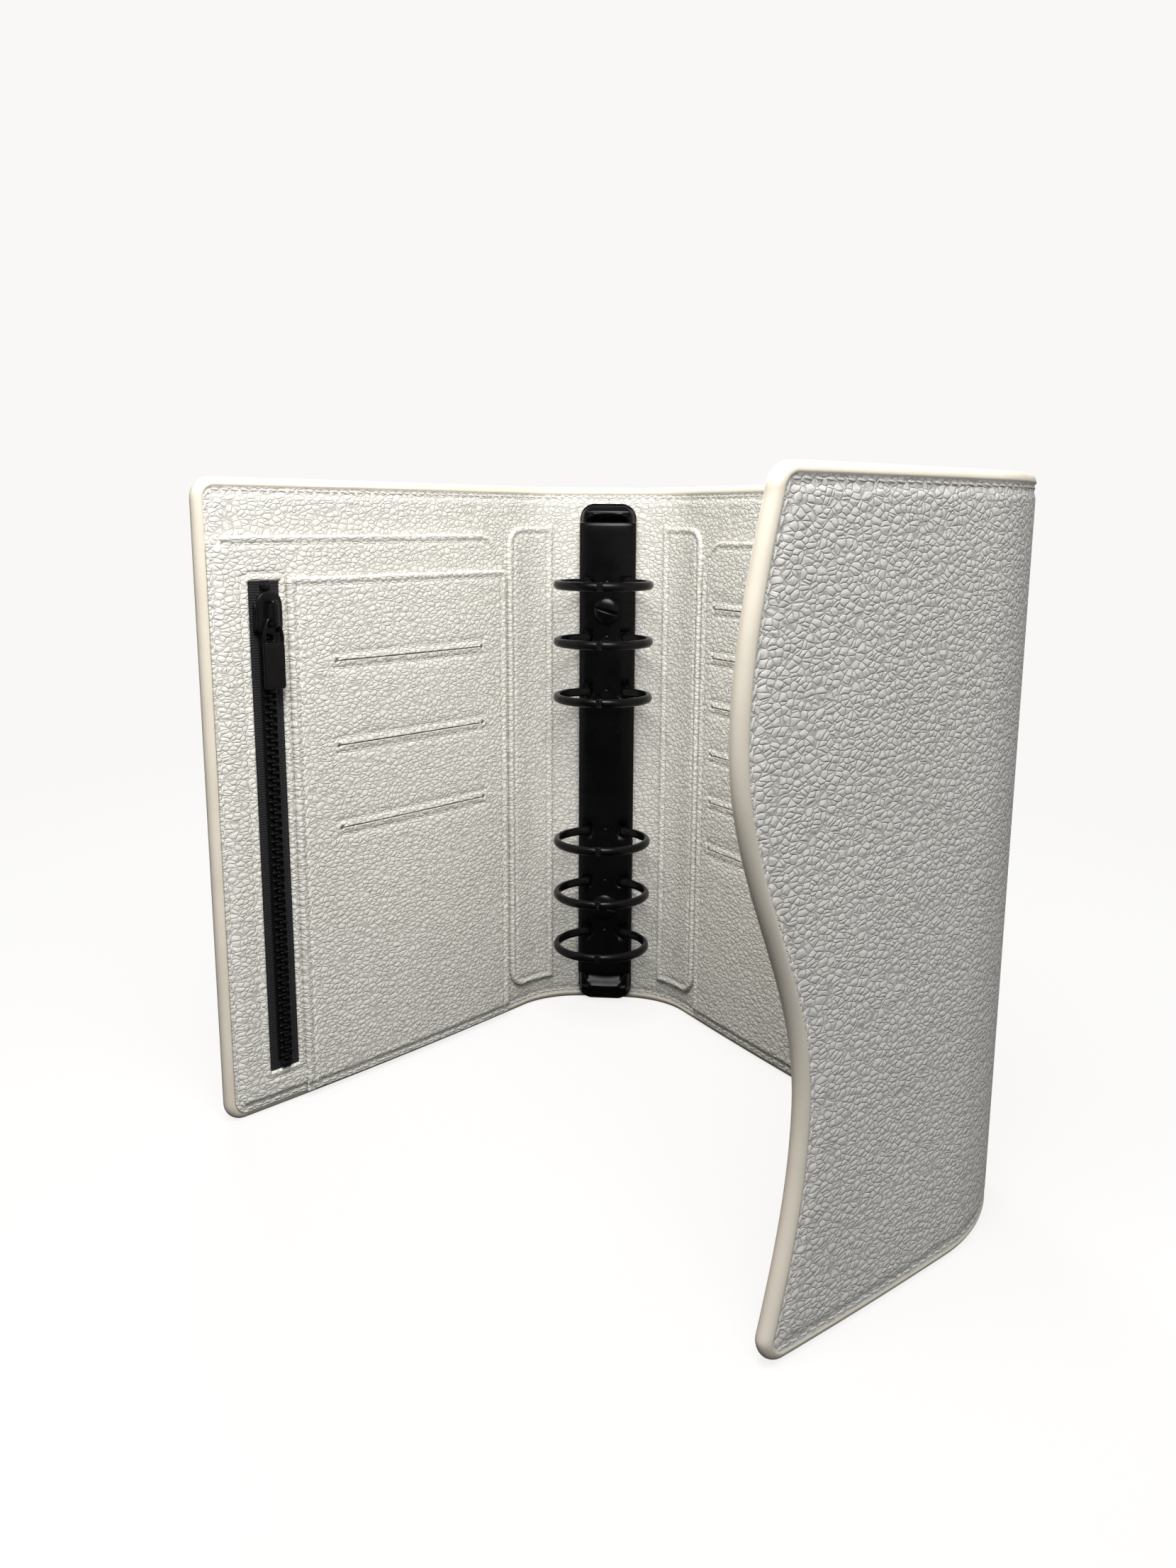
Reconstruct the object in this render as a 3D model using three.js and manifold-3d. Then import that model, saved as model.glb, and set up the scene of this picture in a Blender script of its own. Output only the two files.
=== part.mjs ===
// Cash envelope wallet: a ring binder with a front cover, a spine, a back cover, a gusset and a flap.
// It stands open on its lower edge. X is to the right, -Y towards the reader, Z up, in millimetres.
// The origin is on the lower edge, at the middle of the spine's wall.
import * as THREE from 'three';
import { mergeVertices } from 'three/addons/utils/BufferGeometryUtils.js';
import Module from 'manifold-3d';

const wasm = await Module();
wasm.setup();

// Clearances
const GAP = 0.3;
const HINGE_RELIEF = 0.4;
const HINGE_MARGIN_DEG = 1.5;
const PULL_CLEARANCE = 0.5;

// Wall: outer leather, board and lining
const SKIN_THICKNESS = 1.1;
const BOARD_THICKNESS = 1.7;
const LINING_THICKNESS = 1.1;
const EDGE_PAINT = 0.9;
const WALL = SKIN_THICKNESS + GAP + BOARD_THICKNESS + GAP + LINING_THICKNESS;
const OUTER_FACE = -WALL / 2;
const INNER_FACE = WALL / 2;

// Leather course, measured along the middle of the wall from the middle of the spine
const HEIGHT = 189;
const SPINE_FLAT_HALF = 7.5;
const SPINE_BEND = 27.5;
const SPINE_BEND_DEG = 57;
const COVER_BOW_DEG = -5;
const FRONT_REACH = 163;
const BACK_REACH = 165;
const GUSSET_NEAR = 19.4;
const GUSSET_NEAR_DEG = 46.8;
const GUSSET_FAR = 34.6;
const GUSSET_FAR_DEG = 34.2;
const GUSSET_TAIL = 5;
const FLAP_BOW_DEG = 3.1;
const COVER_CORNER_RADIUS = 6;

// Free edge of the flap: its reach past the gusset at four heights
const FLAP_REACH_BOTTOM = 62.8;
const FLAP_REACH_WAIST = 52.2;
const FLAP_REACH_BELLY = 74;
const FLAP_REACH_TOP = 65;
const FLAP_WAIST_HEIGHT = 57;
const FLAP_BELLY_HEIGHT = 137;
const FLAP_CORNER_RADIUS = 6;

// Travel of each hinge from this rest to closed, which sets the relief cut at the hinge
const SPINE_CLOSING_DEG = 36;
const GUSSET_CLOSING_DEG = 42;
const FLAP_CLOSING_DEG = 58;

// Inside panels
const PANEL_THICKNESS = 1.1;
const PANEL_MARGIN = 2.5;
const PANEL_CORNER_RADIUS = 12;
const ZIP_PANEL_INNER = 46.5;
const ZIP_PANEL_TOP = HEIGHT - 15.8;
const CARD_PANEL_OUTER = 136;
const CARD_PANEL_TOP = HEIGHT - 27.8;
const BACK_PANEL_INNER = 45;
const BACK_PANEL_OUTER = 160;
const BACK_PANEL_TOP = HEIGHT - 17.7;
const SLIT_WIDTH = 1.2;
const SLIT_END_RADIUS = 1.3;
const FRONT_SLIT_START = 58.2;
const FRONT_SLIT_LENGTH = 62.6;
const FRONT_SLIT_TOP = 136;
const FRONT_SLIT_PITCH = 25.8;
const FRONT_SLITS = 3;
const BACK_SLIT_START = 52.2;
const BACK_SLIT_LENGTH = 95;
const BACK_SLIT_TOP = 149;
const BACK_SLIT_PITCH = 16.5;
const BACK_SLITS = 6;

// Stitched strips beside the ring mechanism
const STRIP_INNER = 21.7;
const STRIP_OUTER = 43.6;
const STRIP_BOTTOM = 9.5;
const STRIP_TOP = HEIGHT - 13.5;
const STRIP_THICKNESS = 1.6;
const STRIP_CORNER_RADIUS = 4;

// Zipper
const ZIP_NEAR = 138.3;
const ZIP_FAR = 148.5;
const ZIP_BOTTOM = 12.8;
const ZIP_TOP = HEIGHT - 28.7;
const ZIP_CORNER_RADIUS = 1;
const TAPE_THICKNESS = 0.6;
const TOOTH_PITCH = 2.4;
const TOOTH_WIDTH = 0.9;
const TOOTH_LENGTH = 1.4;
const TOOTH_BEAD = 0.9;
const TOOTH_HEIGHT = 1.2;
const STOP_LENGTH = 2;
const SLIDER_WIDTH = 8.6;
const SLIDER_LENGTH = 12;
const SLIDER_TOP = ZIP_TOP - 2.7;
const SLIDER_PLATE = 1;
const SLIDER_FLANGE = 0.7;
const BRIDGE_WIDTH = 2.2;
const BRIDGE_BAR = 1.1;
const BRIDGE_LENGTH = 8.2;
const PULL_WIDTH = 7;
const PULL_LENGTH = 21;
const PULL_THICKNESS = 1.1;
const PULL_EYE_LENGTH = 6.2;
const PULL_EYE_WIDTH = 3.6;
const PULL_CORNER_RADIUS = 1.2;

// Magnets
const MAGNET_RADIUS = 6;
const FLAP_MAGNET_REACH = 40;
const FRONT_MAGNET_REACH = 117;
const MAGNET_HEIGHT = 95;

// Ring mechanism
const MECHANISM_MIDDLE = 92.4;
const ARCH_LENGTH = 169;
const ARCH_HALF_WIDTH = 9.9;
const ARCH_HEIGHT = 5.5;
const ARCH_SHEET = 0.9;
const ARCH_SHOULDER_HEIGHT = 3.3;
const NOTCH_INNER = 4;
const NOTCH_OUTER = 8.8;
const NOTCH_HALF_HEIGHT = 2.2;
const RING_PITCH = 19.2;
const RING_GROUP_HALF = 25.5;
const RING_WIRE_RADIUS = 1.5;
const RING_RADIUS = 15.8;
const RING_CENTRE_LIFT = 20.5;
const RING_FOOT = 6.2;
const RING_FOOT_BEND = 2.4;
const BLADE_THICKNESS = 1;
const BLADE_LIFT = 0.6;
const BLADE_HALF_WIDTH = 8.7;
const BLADE_END_MARGIN = 9;
const SCREW_HEAD_RADIUS = 4.5;
const SCREW_HEAD_HEIGHT = 1.9;
const SCREW_RIM_HEIGHT = 0.8;
const SCREW_SHOULDER_RADIUS = 3.2;
const SCREW_SHOULDER_HEIGHT = 1.6;
const SCREW_SHANK_RADIUS = 1.9;
const SLOT_WIDTH = 1;
const SLOT_DEPTH = 0.8;
const SLOT_TURN_DEG = -17;
const SCREW_OFFSET = 54.2;
const POST_WALL = 0.9;
const POST_FLANGE_RADIUS = 5;
const POST_FLANGE = 0.8;
const LEVER_NOSE_HALF_WIDTH = 3;
const LEVER_THICKNESS = 1.1;
const LEVER_NOSE = 6;
const LEVER_REACH = 6.5;
const LEVER_RISE = 6.5;
const LEVER_SLOPE = 1.8;

// Colours
const LEATHER = 0xd3cec0;
const LINING = 0xd6d1c4;
const EDGE = 0xded8c8;
const BOARD = 0x8f8a80;
const BLACK_METAL = 0x1b1b1d;
const DARK_STEEL = 0x3a3a3d;
const BLACK_TAPE = 0x141416;
const MAGNET = 0x55555a;

// Fineness of the facets
const CURVE_STEPS = 6;
const TURNED_STEPS = 24;
const RING_STEPS = 18;
const RING_SECTION_STEPS = 4;
const FOOT_STEPS = 3;
const FLAP_EDGE_STEPS = 24;
const BEND_STEP = THREE.MathUtils.degToRad(6);
const STRAIGHT_STEP = 45;
const LEAST_STEP = 0.5;
const REACH_THROUGH = 20;
// How far an outline is cut past the wall on either side, so that the bow of a cover stays within it
const OUTLINE_DEPTH = 14;

// Closed mesh to solid and back
function solidOf(geometry) {
  const bare = new THREE.BufferGeometry();
  bare.setAttribute('position', geometry.getAttribute('position'));
  if (geometry.index) bare.setIndex(geometry.index);
  const merged = mergeVertices(bare, 1e-5);
  const vertProperties = new Float32Array(merged.getAttribute('position').array);
  const triVerts = new Uint32Array(merged.index.array);
  return new wasm.Manifold(new wasm.Mesh({ numProp: 3, vertProperties, triVerts }));
}

function geometryOf(solid) {
  const mesh = solid.getMesh();
  const geometry = new THREE.BufferGeometry();
  geometry.setAttribute('position', new THREE.BufferAttribute(new Float32Array(mesh.vertProperties), 3));
  geometry.setIndex(new THREE.BufferAttribute(new Uint32Array(mesh.triVerts), 1));
  geometry.computeVertexNormals();
  return geometry;
}

// One half of the leather course in plan: straight and curved runs from the middle of the spine.
// side is 1 for the right half and -1 for the left, w is measured from the middle of the wall inwards.
class Course {
  constructor(side, runs) {
    this.side = side;
    this.runs = [];
    let start = { u: 0, x: 0, d: 0, heading: 0 };
    for (const [length, degrees] of runs) {
      const turn = THREE.MathUtils.degToRad(degrees);
      const run = { ...start, length, turn };
      this.runs.push(run);
      start = this.along(run, length);
    }
    this.end = start.u;
  }

  along(run, s) {
    const curvature = run.turn / run.length;
    const heading = run.heading + curvature * s;
    const flat = Math.abs(curvature) < 1e-9;
    const x = flat ? Math.cos(heading) * s : (Math.sin(heading) - Math.sin(run.heading)) / curvature;
    const d = flat ? Math.sin(heading) * s : (Math.cos(run.heading) - Math.cos(heading)) / curvature;
    return { u: run.u + s, x: run.x + x, d: run.d + d, heading };
  }

  station(u) {
    const run = this.runs.findLast((candidate) => candidate.u <= u) ?? this.runs[0];
    return this.along(run, u - run.u);
  }

  point(u, w) {
    const { x, d, heading } = this.station(u);
    return new THREE.Vector2(this.side * (x - w * Math.sin(heading)), -(d + w * Math.cos(heading)));
  }

  // Places where the course is sampled between two lengths
  samples(from, to) {
    const places = [from];
    for (const run of this.runs) {
      const count = Math.ceil(Math.max(Math.abs(run.turn) / BEND_STEP, run.length / STRAIGHT_STEP));
      for (let i = 0; i <= count; i += 1) {
        const u = run.u + (run.length * i) / count;
        if (u > places.at(-1) + LEAST_STEP && u < to - LEAST_STEP) places.push(u);
      }
    }
    places.push(to);
    return places.map((u) => ({ course: this, u }));
  }

  // Frame on the wall: X along the course, Y up, Z through the wall, inwards on the right half
  frame(u, w) {
    const { heading } = this.station(u);
    const along = new THREE.Vector3(this.side * Math.cos(heading), -Math.sin(heading), 0);
    const up = new THREE.Vector3(0, 0, 1);
    const across = new THREE.Vector3().crossVectors(along, up);
    const origin = this.point(u, w);
    return new THREE.Matrix4().makeBasis(along, up, across).setPosition(origin.x, origin.y, 0);
  }
}

const coverRun = (reach, beyond = 0) => {
  const length = reach - SPINE_FLAT_HALF - SPINE_BEND;
  return [length + beyond, COVER_BOW_DEG * (1 + beyond / length)];
};
const spineRuns = [
  [SPINE_FLAT_HALF, 0],
  [SPINE_BEND, SPINE_BEND_DEG],
];
const GUSSET_END = BACK_REACH + GUSSET_NEAR + GUSSET_FAR + GUSSET_TAIL;
const left = new Course(-1, [...spineRuns, coverRun(FRONT_REACH, WALL)]);
const right = new Course(1, [
  ...spineRuns,
  coverRun(BACK_REACH),
  [GUSSET_NEAR, GUSSET_NEAR_DEG],
  [GUSSET_FAR, GUSSET_FAR_DEG],
  [GUSSET_TAIL, 0],
  [FLAP_REACH_BELLY + WALL, FLAP_BOW_DEG],
]);
const SPINE_HINGE = SPINE_FLAT_HALF + SPINE_BEND / 2;

// Upright ribbon between two faces of the wall, through a list of places on the course
function ribbon(places, outer, inner, bottom, top) {
  const outline = [
    ...places.map(({ course, u }) => course.point(u, outer)),
    ...places.toReversed().map(({ course, u }) => course.point(u, inner)),
  ];
  const geometry = new THREE.ExtrudeGeometry(new THREE.Shape(outline), {
    depth: top - bottom,
    bevelEnabled: false,
  });
  geometry.translate(0, 0, bottom);
  return solidOf(geometry);
}

// Prism through the wall: its outline is drawn along the course from place u, and up
function through(course, u, shape, outer, inner) {
  const geometry = new THREE.ExtrudeGeometry(shape, {
    depth: inner - outer,
    bevelEnabled: false,
    curveSegments: CURVE_STEPS,
  });
  geometry.translate(0, 0, course.side > 0 ? outer : -inner);
  geometry.applyMatrix4(course.frame(u, 0));
  return solidOf(geometry);
}

// Relief at a hinge: a wedge whose point lies just outside the outer leather
function hingeRelief(course, u, closingDegrees) {
  const half = THREE.MathUtils.degToRad(closingDegrees / 2 + HINGE_MARGIN_DEG);
  const depth = REACH_THROUGH;
  const shape = new THREE.Shape([
    new THREE.Vector2(0, 0),
    new THREE.Vector2(Math.tan(half) * depth, depth),
    new THREE.Vector2(-Math.tan(half) * depth, depth),
  ]);
  const geometry = new THREE.ExtrudeGeometry(shape, { depth: HEIGHT + 2 * GAP, bevelEnabled: false });
  const { heading } = course.station(u);
  const apex = course.point(u, OUTER_FACE - HINGE_RELIEF);
  geometry.rotateZ(course.side > 0 ? Math.PI - heading : Math.PI + heading);
  geometry.translate(apex.x, apex.y, -GAP);
  return solidOf(geometry);
}

// Rectangle with its own radius at each corner: [low near, low far, high far, high near]
function roundedRectangle(x0, y0, x1, y1, [lowNear, lowFar, highFar, highNear]) {
  const shape = new THREE.Shape();
  shape.moveTo(x0 + lowNear, y0);
  shape.lineTo(x1 - lowFar, y0);
  if (lowFar > 0) shape.absarc(x1 - lowFar, y0 + lowFar, lowFar, -Math.PI / 2, 0, false);
  shape.lineTo(x1, y1 - highFar);
  if (highFar > 0) shape.absarc(x1 - highFar, y1 - highFar, highFar, 0, Math.PI / 2, false);
  shape.lineTo(x0 + highNear, y1);
  if (highNear > 0) shape.absarc(x0 + highNear, y1 - highNear, highNear, Math.PI / 2, Math.PI, false);
  shape.lineTo(x0, y0 + lowNear);
  if (lowNear > 0) shape.absarc(x0 + lowNear, y0 + lowNear, lowNear, Math.PI, 1.5 * Math.PI, false);
  return shape;
}

const all = (radius) => [radius, radius, radius, radius];

// Outline of the front cover, drawn in from the hinge and set in by a margin all round
function frontOutline(inset) {
  const radius = COVER_CORNER_RADIUS - Math.min(inset, COVER_CORNER_RADIUS / 2);
  const end = FRONT_REACH - SPINE_HINGE - inset;
  return roundedRectangle(-REACH_THROUGH, inset, end, HEIGHT - inset, [0, radius, radius, 0]);
}

// Reach of the flap's free edge at a height: it draws in to a waist and swells to a belly above
function flapReach(z) {
  const { sin, cos, PI } = Math;
  if (z < FLAP_WAIST_HEIGHT) {
    return FLAP_REACH_BOTTOM - (FLAP_REACH_BOTTOM - FLAP_REACH_WAIST) * sin((PI / 2) * (z / FLAP_WAIST_HEIGHT));
  }
  if (z < FLAP_BELLY_HEIGHT) {
    const rise = (z - FLAP_WAIST_HEIGHT) / (FLAP_BELLY_HEIGHT - FLAP_WAIST_HEIGHT);
    return FLAP_REACH_WAIST + (FLAP_REACH_BELLY - FLAP_REACH_WAIST) * (0.5 - 0.5 * cos(PI * rise));
  }
  const rise = (z - FLAP_BELLY_HEIGHT) / (HEIGHT - FLAP_BELLY_HEIGHT);
  return FLAP_REACH_BELLY - (FLAP_REACH_BELLY - FLAP_REACH_TOP) * (1 - cos((PI / 2) * rise));
}

// Outline of the flap, drawn in from the hinge and set in by a margin all round
function flapOutline(inset) {
  const radius = FLAP_CORNER_RADIUS;
  const low = inset;
  const high = HEIGHT - inset;
  const shape = new THREE.Shape();
  shape.moveTo(-REACH_THROUGH, low);
  const lowCentre = flapReach(low + radius) - inset - radius;
  const highCentre = flapReach(high - radius) - inset - radius;
  shape.lineTo(lowCentre, low);
  shape.absarc(lowCentre, low + radius, radius, -Math.PI / 2, 0, false);
  for (let i = 1; i < FLAP_EDGE_STEPS; i += 1) {
    const z = low + radius + ((high - low - 2 * radius) * i) / FLAP_EDGE_STEPS;
    shape.lineTo(flapReach(z) - inset, z);
  }
  shape.absarc(highCentre, high - radius, radius, 0, Math.PI / 2, false);
  shape.lineTo(-REACH_THROUGH, high);
  return shape;
}

function shifted(shape, distance) {
  return new THREE.Shape(shape.getPoints(CURVE_STEPS).map((p) => new THREE.Vector2(p.x + distance, p.y)));
}

// Sections of the wallet between its hinges
const spineReliefs = [
  hingeRelief(left, SPINE_HINGE, SPINE_CLOSING_DEG),
  hingeRelief(right, SPINE_HINGE, SPINE_CLOSING_DEG),
];
const gussetRelief = hingeRelief(right, BACK_REACH, GUSSET_CLOSING_DEG);
const flapRelief = hingeRelief(right, GUSSET_END, FLAP_CLOSING_DEG);
const spinePlaces = [...left.samples(0, SPINE_HINGE).toReversed(), ...right.samples(0, SPINE_HINGE).slice(1)];
const sections = {
  front_cover: {
    places: left.samples(SPINE_HINGE, left.end),
    reliefs: [spineReliefs[0]],
    outline: (inset, outer, inner) => through(left, SPINE_HINGE + REACH_THROUGH,
      shifted(frontOutline(inset), -REACH_THROUGH), outer, inner),
  },
  spine: { places: spinePlaces, reliefs: spineReliefs },
  back_cover: { places: right.samples(SPINE_HINGE, BACK_REACH), reliefs: [spineReliefs[1], gussetRelief] },
  gusset: { places: right.samples(BACK_REACH, GUSSET_END), reliefs: [gussetRelief, flapRelief] },
  flap: {
    places: right.samples(GUSSET_END, right.end),
    reliefs: [flapRelief],
    outline: (inset, outer, inner) => through(right, GUSSET_END + REACH_THROUGH,
      shifted(flapOutline(inset), -REACH_THROUGH), outer, inner),
  },
};

const minus = (solid, cutters) => cutters.reduce((rest, cutter) => rest.subtract(cutter), solid);

// One layer of a section, set in from the painted edges
function layer(section, outer, inner, cutters = []) {
  const inset = EDGE_PAINT + GAP;
  let solid = ribbon(section.places, outer, inner, inset, HEIGHT - inset);
  if (section.outline) solid = solid.intersect(section.outline(inset, outer - OUTLINE_DEPTH, inner + OUTLINE_DEPTH));
  return minus(solid, [...section.reliefs, ...cutters]);
}

// Painted edge of a section that has a free end: one band round three sides
function edgeBand(section) {
  const whole = ribbon(section.places, OUTER_FACE, INNER_FACE, 0, HEIGHT);
  const outside = section.outline(0, OUTER_FACE - OUTLINE_DEPTH, INNER_FACE + OUTLINE_DEPTH);
  const inside = section.outline(EDGE_PAINT, OUTER_FACE - OUTLINE_DEPTH, INNER_FACE + OUTLINE_DEPTH);
  return minus(whole.intersect(outside), [inside, ...section.reliefs]);
}

// Painted edge of a section between two hinges
function edgeStrip(section, bottom) {
  return minus(ribbon(section.places, OUTER_FACE, INNER_FACE, bottom, bottom + EDGE_PAINT), section.reliefs);
}

const group = new THREE.Group();

function add(name, solid, color, roughness, metalness = 0, parent = group) {
  const material = new THREE.MeshStandardMaterial({ color, roughness, metalness });
  const mesh = new THREE.Mesh(geometryOf(solid), material);
  mesh.name = name;
  parent.add(mesh);
  return mesh;
}

// Round hole through the wall at a place on the course
function roundCutter(course, u, z, radius, outer, inner) {
  const disc = new THREE.Shape();
  disc.absarc(0, z, radius, 0, 2 * Math.PI, false);
  return through(course, u, disc, outer, inner);
}

// Depths of the layers in the wall
const SKIN_INNER = OUTER_FACE + SKIN_THICKNESS;
const BOARD_OUTER = SKIN_INNER + GAP;
const BOARD_INNER = BOARD_OUTER + BOARD_THICKNESS;
const LINING_OUTER = BOARD_INNER + GAP;

const screwPlaces = [SCREW_OFFSET, -SCREW_OFFSET];
const screwHeights = screwPlaces.map((z) => MECHANISM_MIDDLE + z);
const POST_BORE = SCREW_SHANK_RADIUS + GAP;
const POST_RADIUS = POST_BORE + POST_WALL;
const postHoles = screwHeights.map((z) => roundCutter(right, 0, z, POST_RADIUS + GAP, BOARD_OUTER - GAP,
  INNER_FACE + GAP));
const flangeRecesses = screwHeights.map((z) => roundCutter(right, 0, z, POST_FLANGE_RADIUS + GAP,
  BOARD_OUTER - GAP, BOARD_OUTER + POST_FLANGE + GAP));
const flapMagnetPlace = GUSSET_END + FLAP_MAGNET_REACH;
const magnetPocket = (course, u) => roundCutter(course, u, MAGNET_HEIGHT, MAGNET_RADIUS + GAP,
  BOARD_OUTER - GAP, BOARD_INNER + GAP);
const boardCutters = {
  front_cover: [magnetPocket(left, FRONT_MAGNET_REACH)],
  spine: [...postHoles, ...flangeRecesses],
  flap: [magnetPocket(right, flapMagnetPlace)],
};

for (const [name, section] of Object.entries(sections)) {
  const liningCutters = name === 'spine' ? postHoles : [];
  add(`${name}_skin`, layer(section, OUTER_FACE, SKIN_INNER), LEATHER, 0.6);
  add(`${name}_board`, layer(section, BOARD_OUTER, BOARD_INNER, boardCutters[name]), BOARD, 0.9);
  add(`${name}_lining`, layer(section, LINING_OUTER, INNER_FACE, liningCutters), LINING, 0.65);
  if (section.outline) {
    add(`${name}_edge`, edgeBand(section), EDGE, 0.5);
  } else {
    add(`${name}_edge_bottom`, edgeStrip(section, 0), EDGE, 0.5);
    add(`${name}_edge_top`, edgeStrip(section, HEIGHT - EDGE_PAINT), EDGE, 0.5);
  }
}

function magnet(name, course, u) {
  const disc = roundCutter(course, u, MAGNET_HEIGHT, MAGNET_RADIUS, BOARD_OUTER, BOARD_INNER);
  add(name, disc, MAGNET, 0.4, 0.8);
}
magnet('front_cover_magnet', left, FRONT_MAGNET_REACH);
magnet('flap_magnet', right, flapMagnetPlace);

// Slit with a round punched hole at each end
function slit(course, start, length, z, outer, inner) {
  const shape = new THREE.Shape();
  const reach = length / 2 - SLIT_END_RADIUS;
  const half = Math.asin(SLIT_WIDTH / 2 / SLIT_END_RADIUS);
  shape.absarc(reach, z, SLIT_END_RADIUS, Math.PI + half, 3 * Math.PI - half, false);
  shape.absarc(-reach, z, SLIT_END_RADIUS, half, 2 * Math.PI - half, false);
  return through(course, start + length / 2, shape, outer, inner);
}

function slits(course, { count, start, length, top, pitch }, outer, inner) {
  const cutters = [];
  for (let i = 0; i < count; i += 1) {
    cutters.push(slit(course, start, length, top - i * pitch, outer - GAP, inner + GAP));
  }
  return cutters;
}

// Flat panel on the inside of a cover
function panel(course, from, to, bottom, top, outer, radii, cutters) {
  const inner = outer + PANEL_THICKNESS;
  const sheet = ribbon(course.samples(from, to), outer, inner, bottom, top);
  const middle = (from + to) / 2;
  const outline = roundedRectangle(from - middle, bottom, to - middle, top, radii);
  return minus(sheet.intersect(through(course, middle, outline, outer - OUTLINE_DEPTH, inner + OUTLINE_DEPTH)), cutters);
}

const PANEL_FACE = INNER_FACE + GAP;
const CARD_FACE = PANEL_FACE + PANEL_THICKNESS + GAP;
const zipMiddle = (ZIP_NEAR + ZIP_FAR) / 2;
const zipHalf = (ZIP_FAR - ZIP_NEAR) / 2;
const zipWindow = through(left, zipMiddle,
  roundedRectangle(-zipHalf, ZIP_BOTTOM, zipHalf, ZIP_TOP, all(ZIP_CORNER_RADIUS)),
  PANEL_FACE - GAP, PANEL_FACE + PANEL_THICKNESS + GAP);
const zipPanelRadii = [0, COVER_CORNER_RADIUS, COVER_CORNER_RADIUS, PANEL_CORNER_RADIUS];
add('zip_pocket_panel',
  panel(left, ZIP_PANEL_INNER, FRONT_REACH - PANEL_MARGIN, PANEL_MARGIN, ZIP_PANEL_TOP, PANEL_FACE,
    zipPanelRadii, [zipWindow]), LEATHER, 0.6);
const frontSlits = {
  count: FRONT_SLITS,
  start: FRONT_SLIT_START,
  length: FRONT_SLIT_LENGTH,
  top: FRONT_SLIT_TOP,
  pitch: FRONT_SLIT_PITCH,
};
add('front_card_panel',
  panel(left, ZIP_PANEL_INNER, CARD_PANEL_OUTER, PANEL_MARGIN, CARD_PANEL_TOP, CARD_FACE,
    [0, 0, 0, 0], slits(left, frontSlits, CARD_FACE, CARD_FACE + PANEL_THICKNESS)), LEATHER, 0.6);
const backSlits = {
  count: BACK_SLITS,
  start: BACK_SLIT_START,
  length: BACK_SLIT_LENGTH,
  top: BACK_SLIT_TOP,
  pitch: BACK_SLIT_PITCH,
};
add('back_card_panel',
  panel(right, BACK_PANEL_INNER, BACK_PANEL_OUTER, PANEL_MARGIN, BACK_PANEL_TOP, PANEL_FACE,
    [0, 0, 0, PANEL_CORNER_RADIUS], slits(right, backSlits, PANEL_FACE, PANEL_FACE + PANEL_THICKNESS)),
  LEATHER, 0.6);

// Strips beside the ring mechanism, rounded at the corners away from it
for (const [name, course, relief] of [['left_strip', left, 0], ['right_strip', right, 1]]) {
  const outer = INNER_FACE + GAP;
  const inner = outer + STRIP_THICKNESS;
  const sheet = ribbon(course.samples(STRIP_INNER, STRIP_OUTER), outer, inner, STRIP_BOTTOM, STRIP_TOP);
  const radii = [0, STRIP_CORNER_RADIUS, STRIP_CORNER_RADIUS, 0];
  const reach = STRIP_OUTER - STRIP_INNER;
  const outline = roundedRectangle(-2 * reach, STRIP_BOTTOM, 0, STRIP_TOP, radii);
  const cutter = through(course, STRIP_OUTER, outline, outer - OUTLINE_DEPTH, inner + OUTLINE_DEPTH);
  add(name, minus(sheet.intersect(cutter), [spineReliefs[relief]]), LEATHER, 0.6);
}

// Zipper: two tapes in the window, two rows of teeth, stops, slider and pull
const TEETH_FACE = PANEL_FACE + TAPE_THICKNESS + GAP;
const toothedHalf = (SLIDER_TOP - ZIP_BOTTOM) / 2 - STOP_LENGTH - GAP;
for (const [name, sign] of [['near', -1], ['far', 1]]) {
  const low = ZIP_BOTTOM + GAP;
  const high = ZIP_TOP - GAP;
  const ends = [GAP / 2, zipHalf - GAP].map((reach) => sign * reach).sort((a, b) => a - b);
  const tape = roundedRectangle(ends[0], low, ends[1], high, all(0));
  add(`zipper_tape_${name}`, through(left, zipMiddle, tape, PANEL_FACE, PANEL_FACE + TAPE_THICKNESS),
    BLACK_TAPE, 0.9);
}

// Row of teeth on its bead: the rows lock into each other with clearance all round
function toothRow(sign) {
  const root = sign * (TOOTH_LENGTH / 2 + GAP / 2);
  const back = root + sign * TOOTH_BEAD;
  const tip = root - sign * TOOTH_LENGTH;
  const low = ZIP_BOTTOM + STOP_LENGTH + 2 * GAP;
  const high = low + 2 * toothedHalf;
  const count = Math.floor((high - low - TOOTH_PITCH) / TOOTH_PITCH);
  const first = low + TOOTH_PITCH / 4 + (sign > 0 ? TOOTH_PITCH / 2 : 0);
  const points = [new THREE.Vector2(back, high), new THREE.Vector2(back, low), new THREE.Vector2(root, low)];
  for (let i = 0; i < count; i += 1) {
    const z = first + i * TOOTH_PITCH;
    points.push(new THREE.Vector2(root, z));
    points.push(new THREE.Vector2(tip, z));
    points.push(new THREE.Vector2(tip, z + TOOTH_WIDTH));
    points.push(new THREE.Vector2(root, z + TOOTH_WIDTH));
  }
  points.push(new THREE.Vector2(root, high));
  return through(left, zipMiddle, new THREE.Shape(points), TEETH_FACE, TEETH_FACE + TOOTH_HEIGHT);
}
add('zipper_teeth_near', toothRow(-1), BLACK_METAL, 0.4, 0.5);
add('zipper_teeth_far', toothRow(1), BLACK_METAL, 0.4, 0.5);

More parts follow.
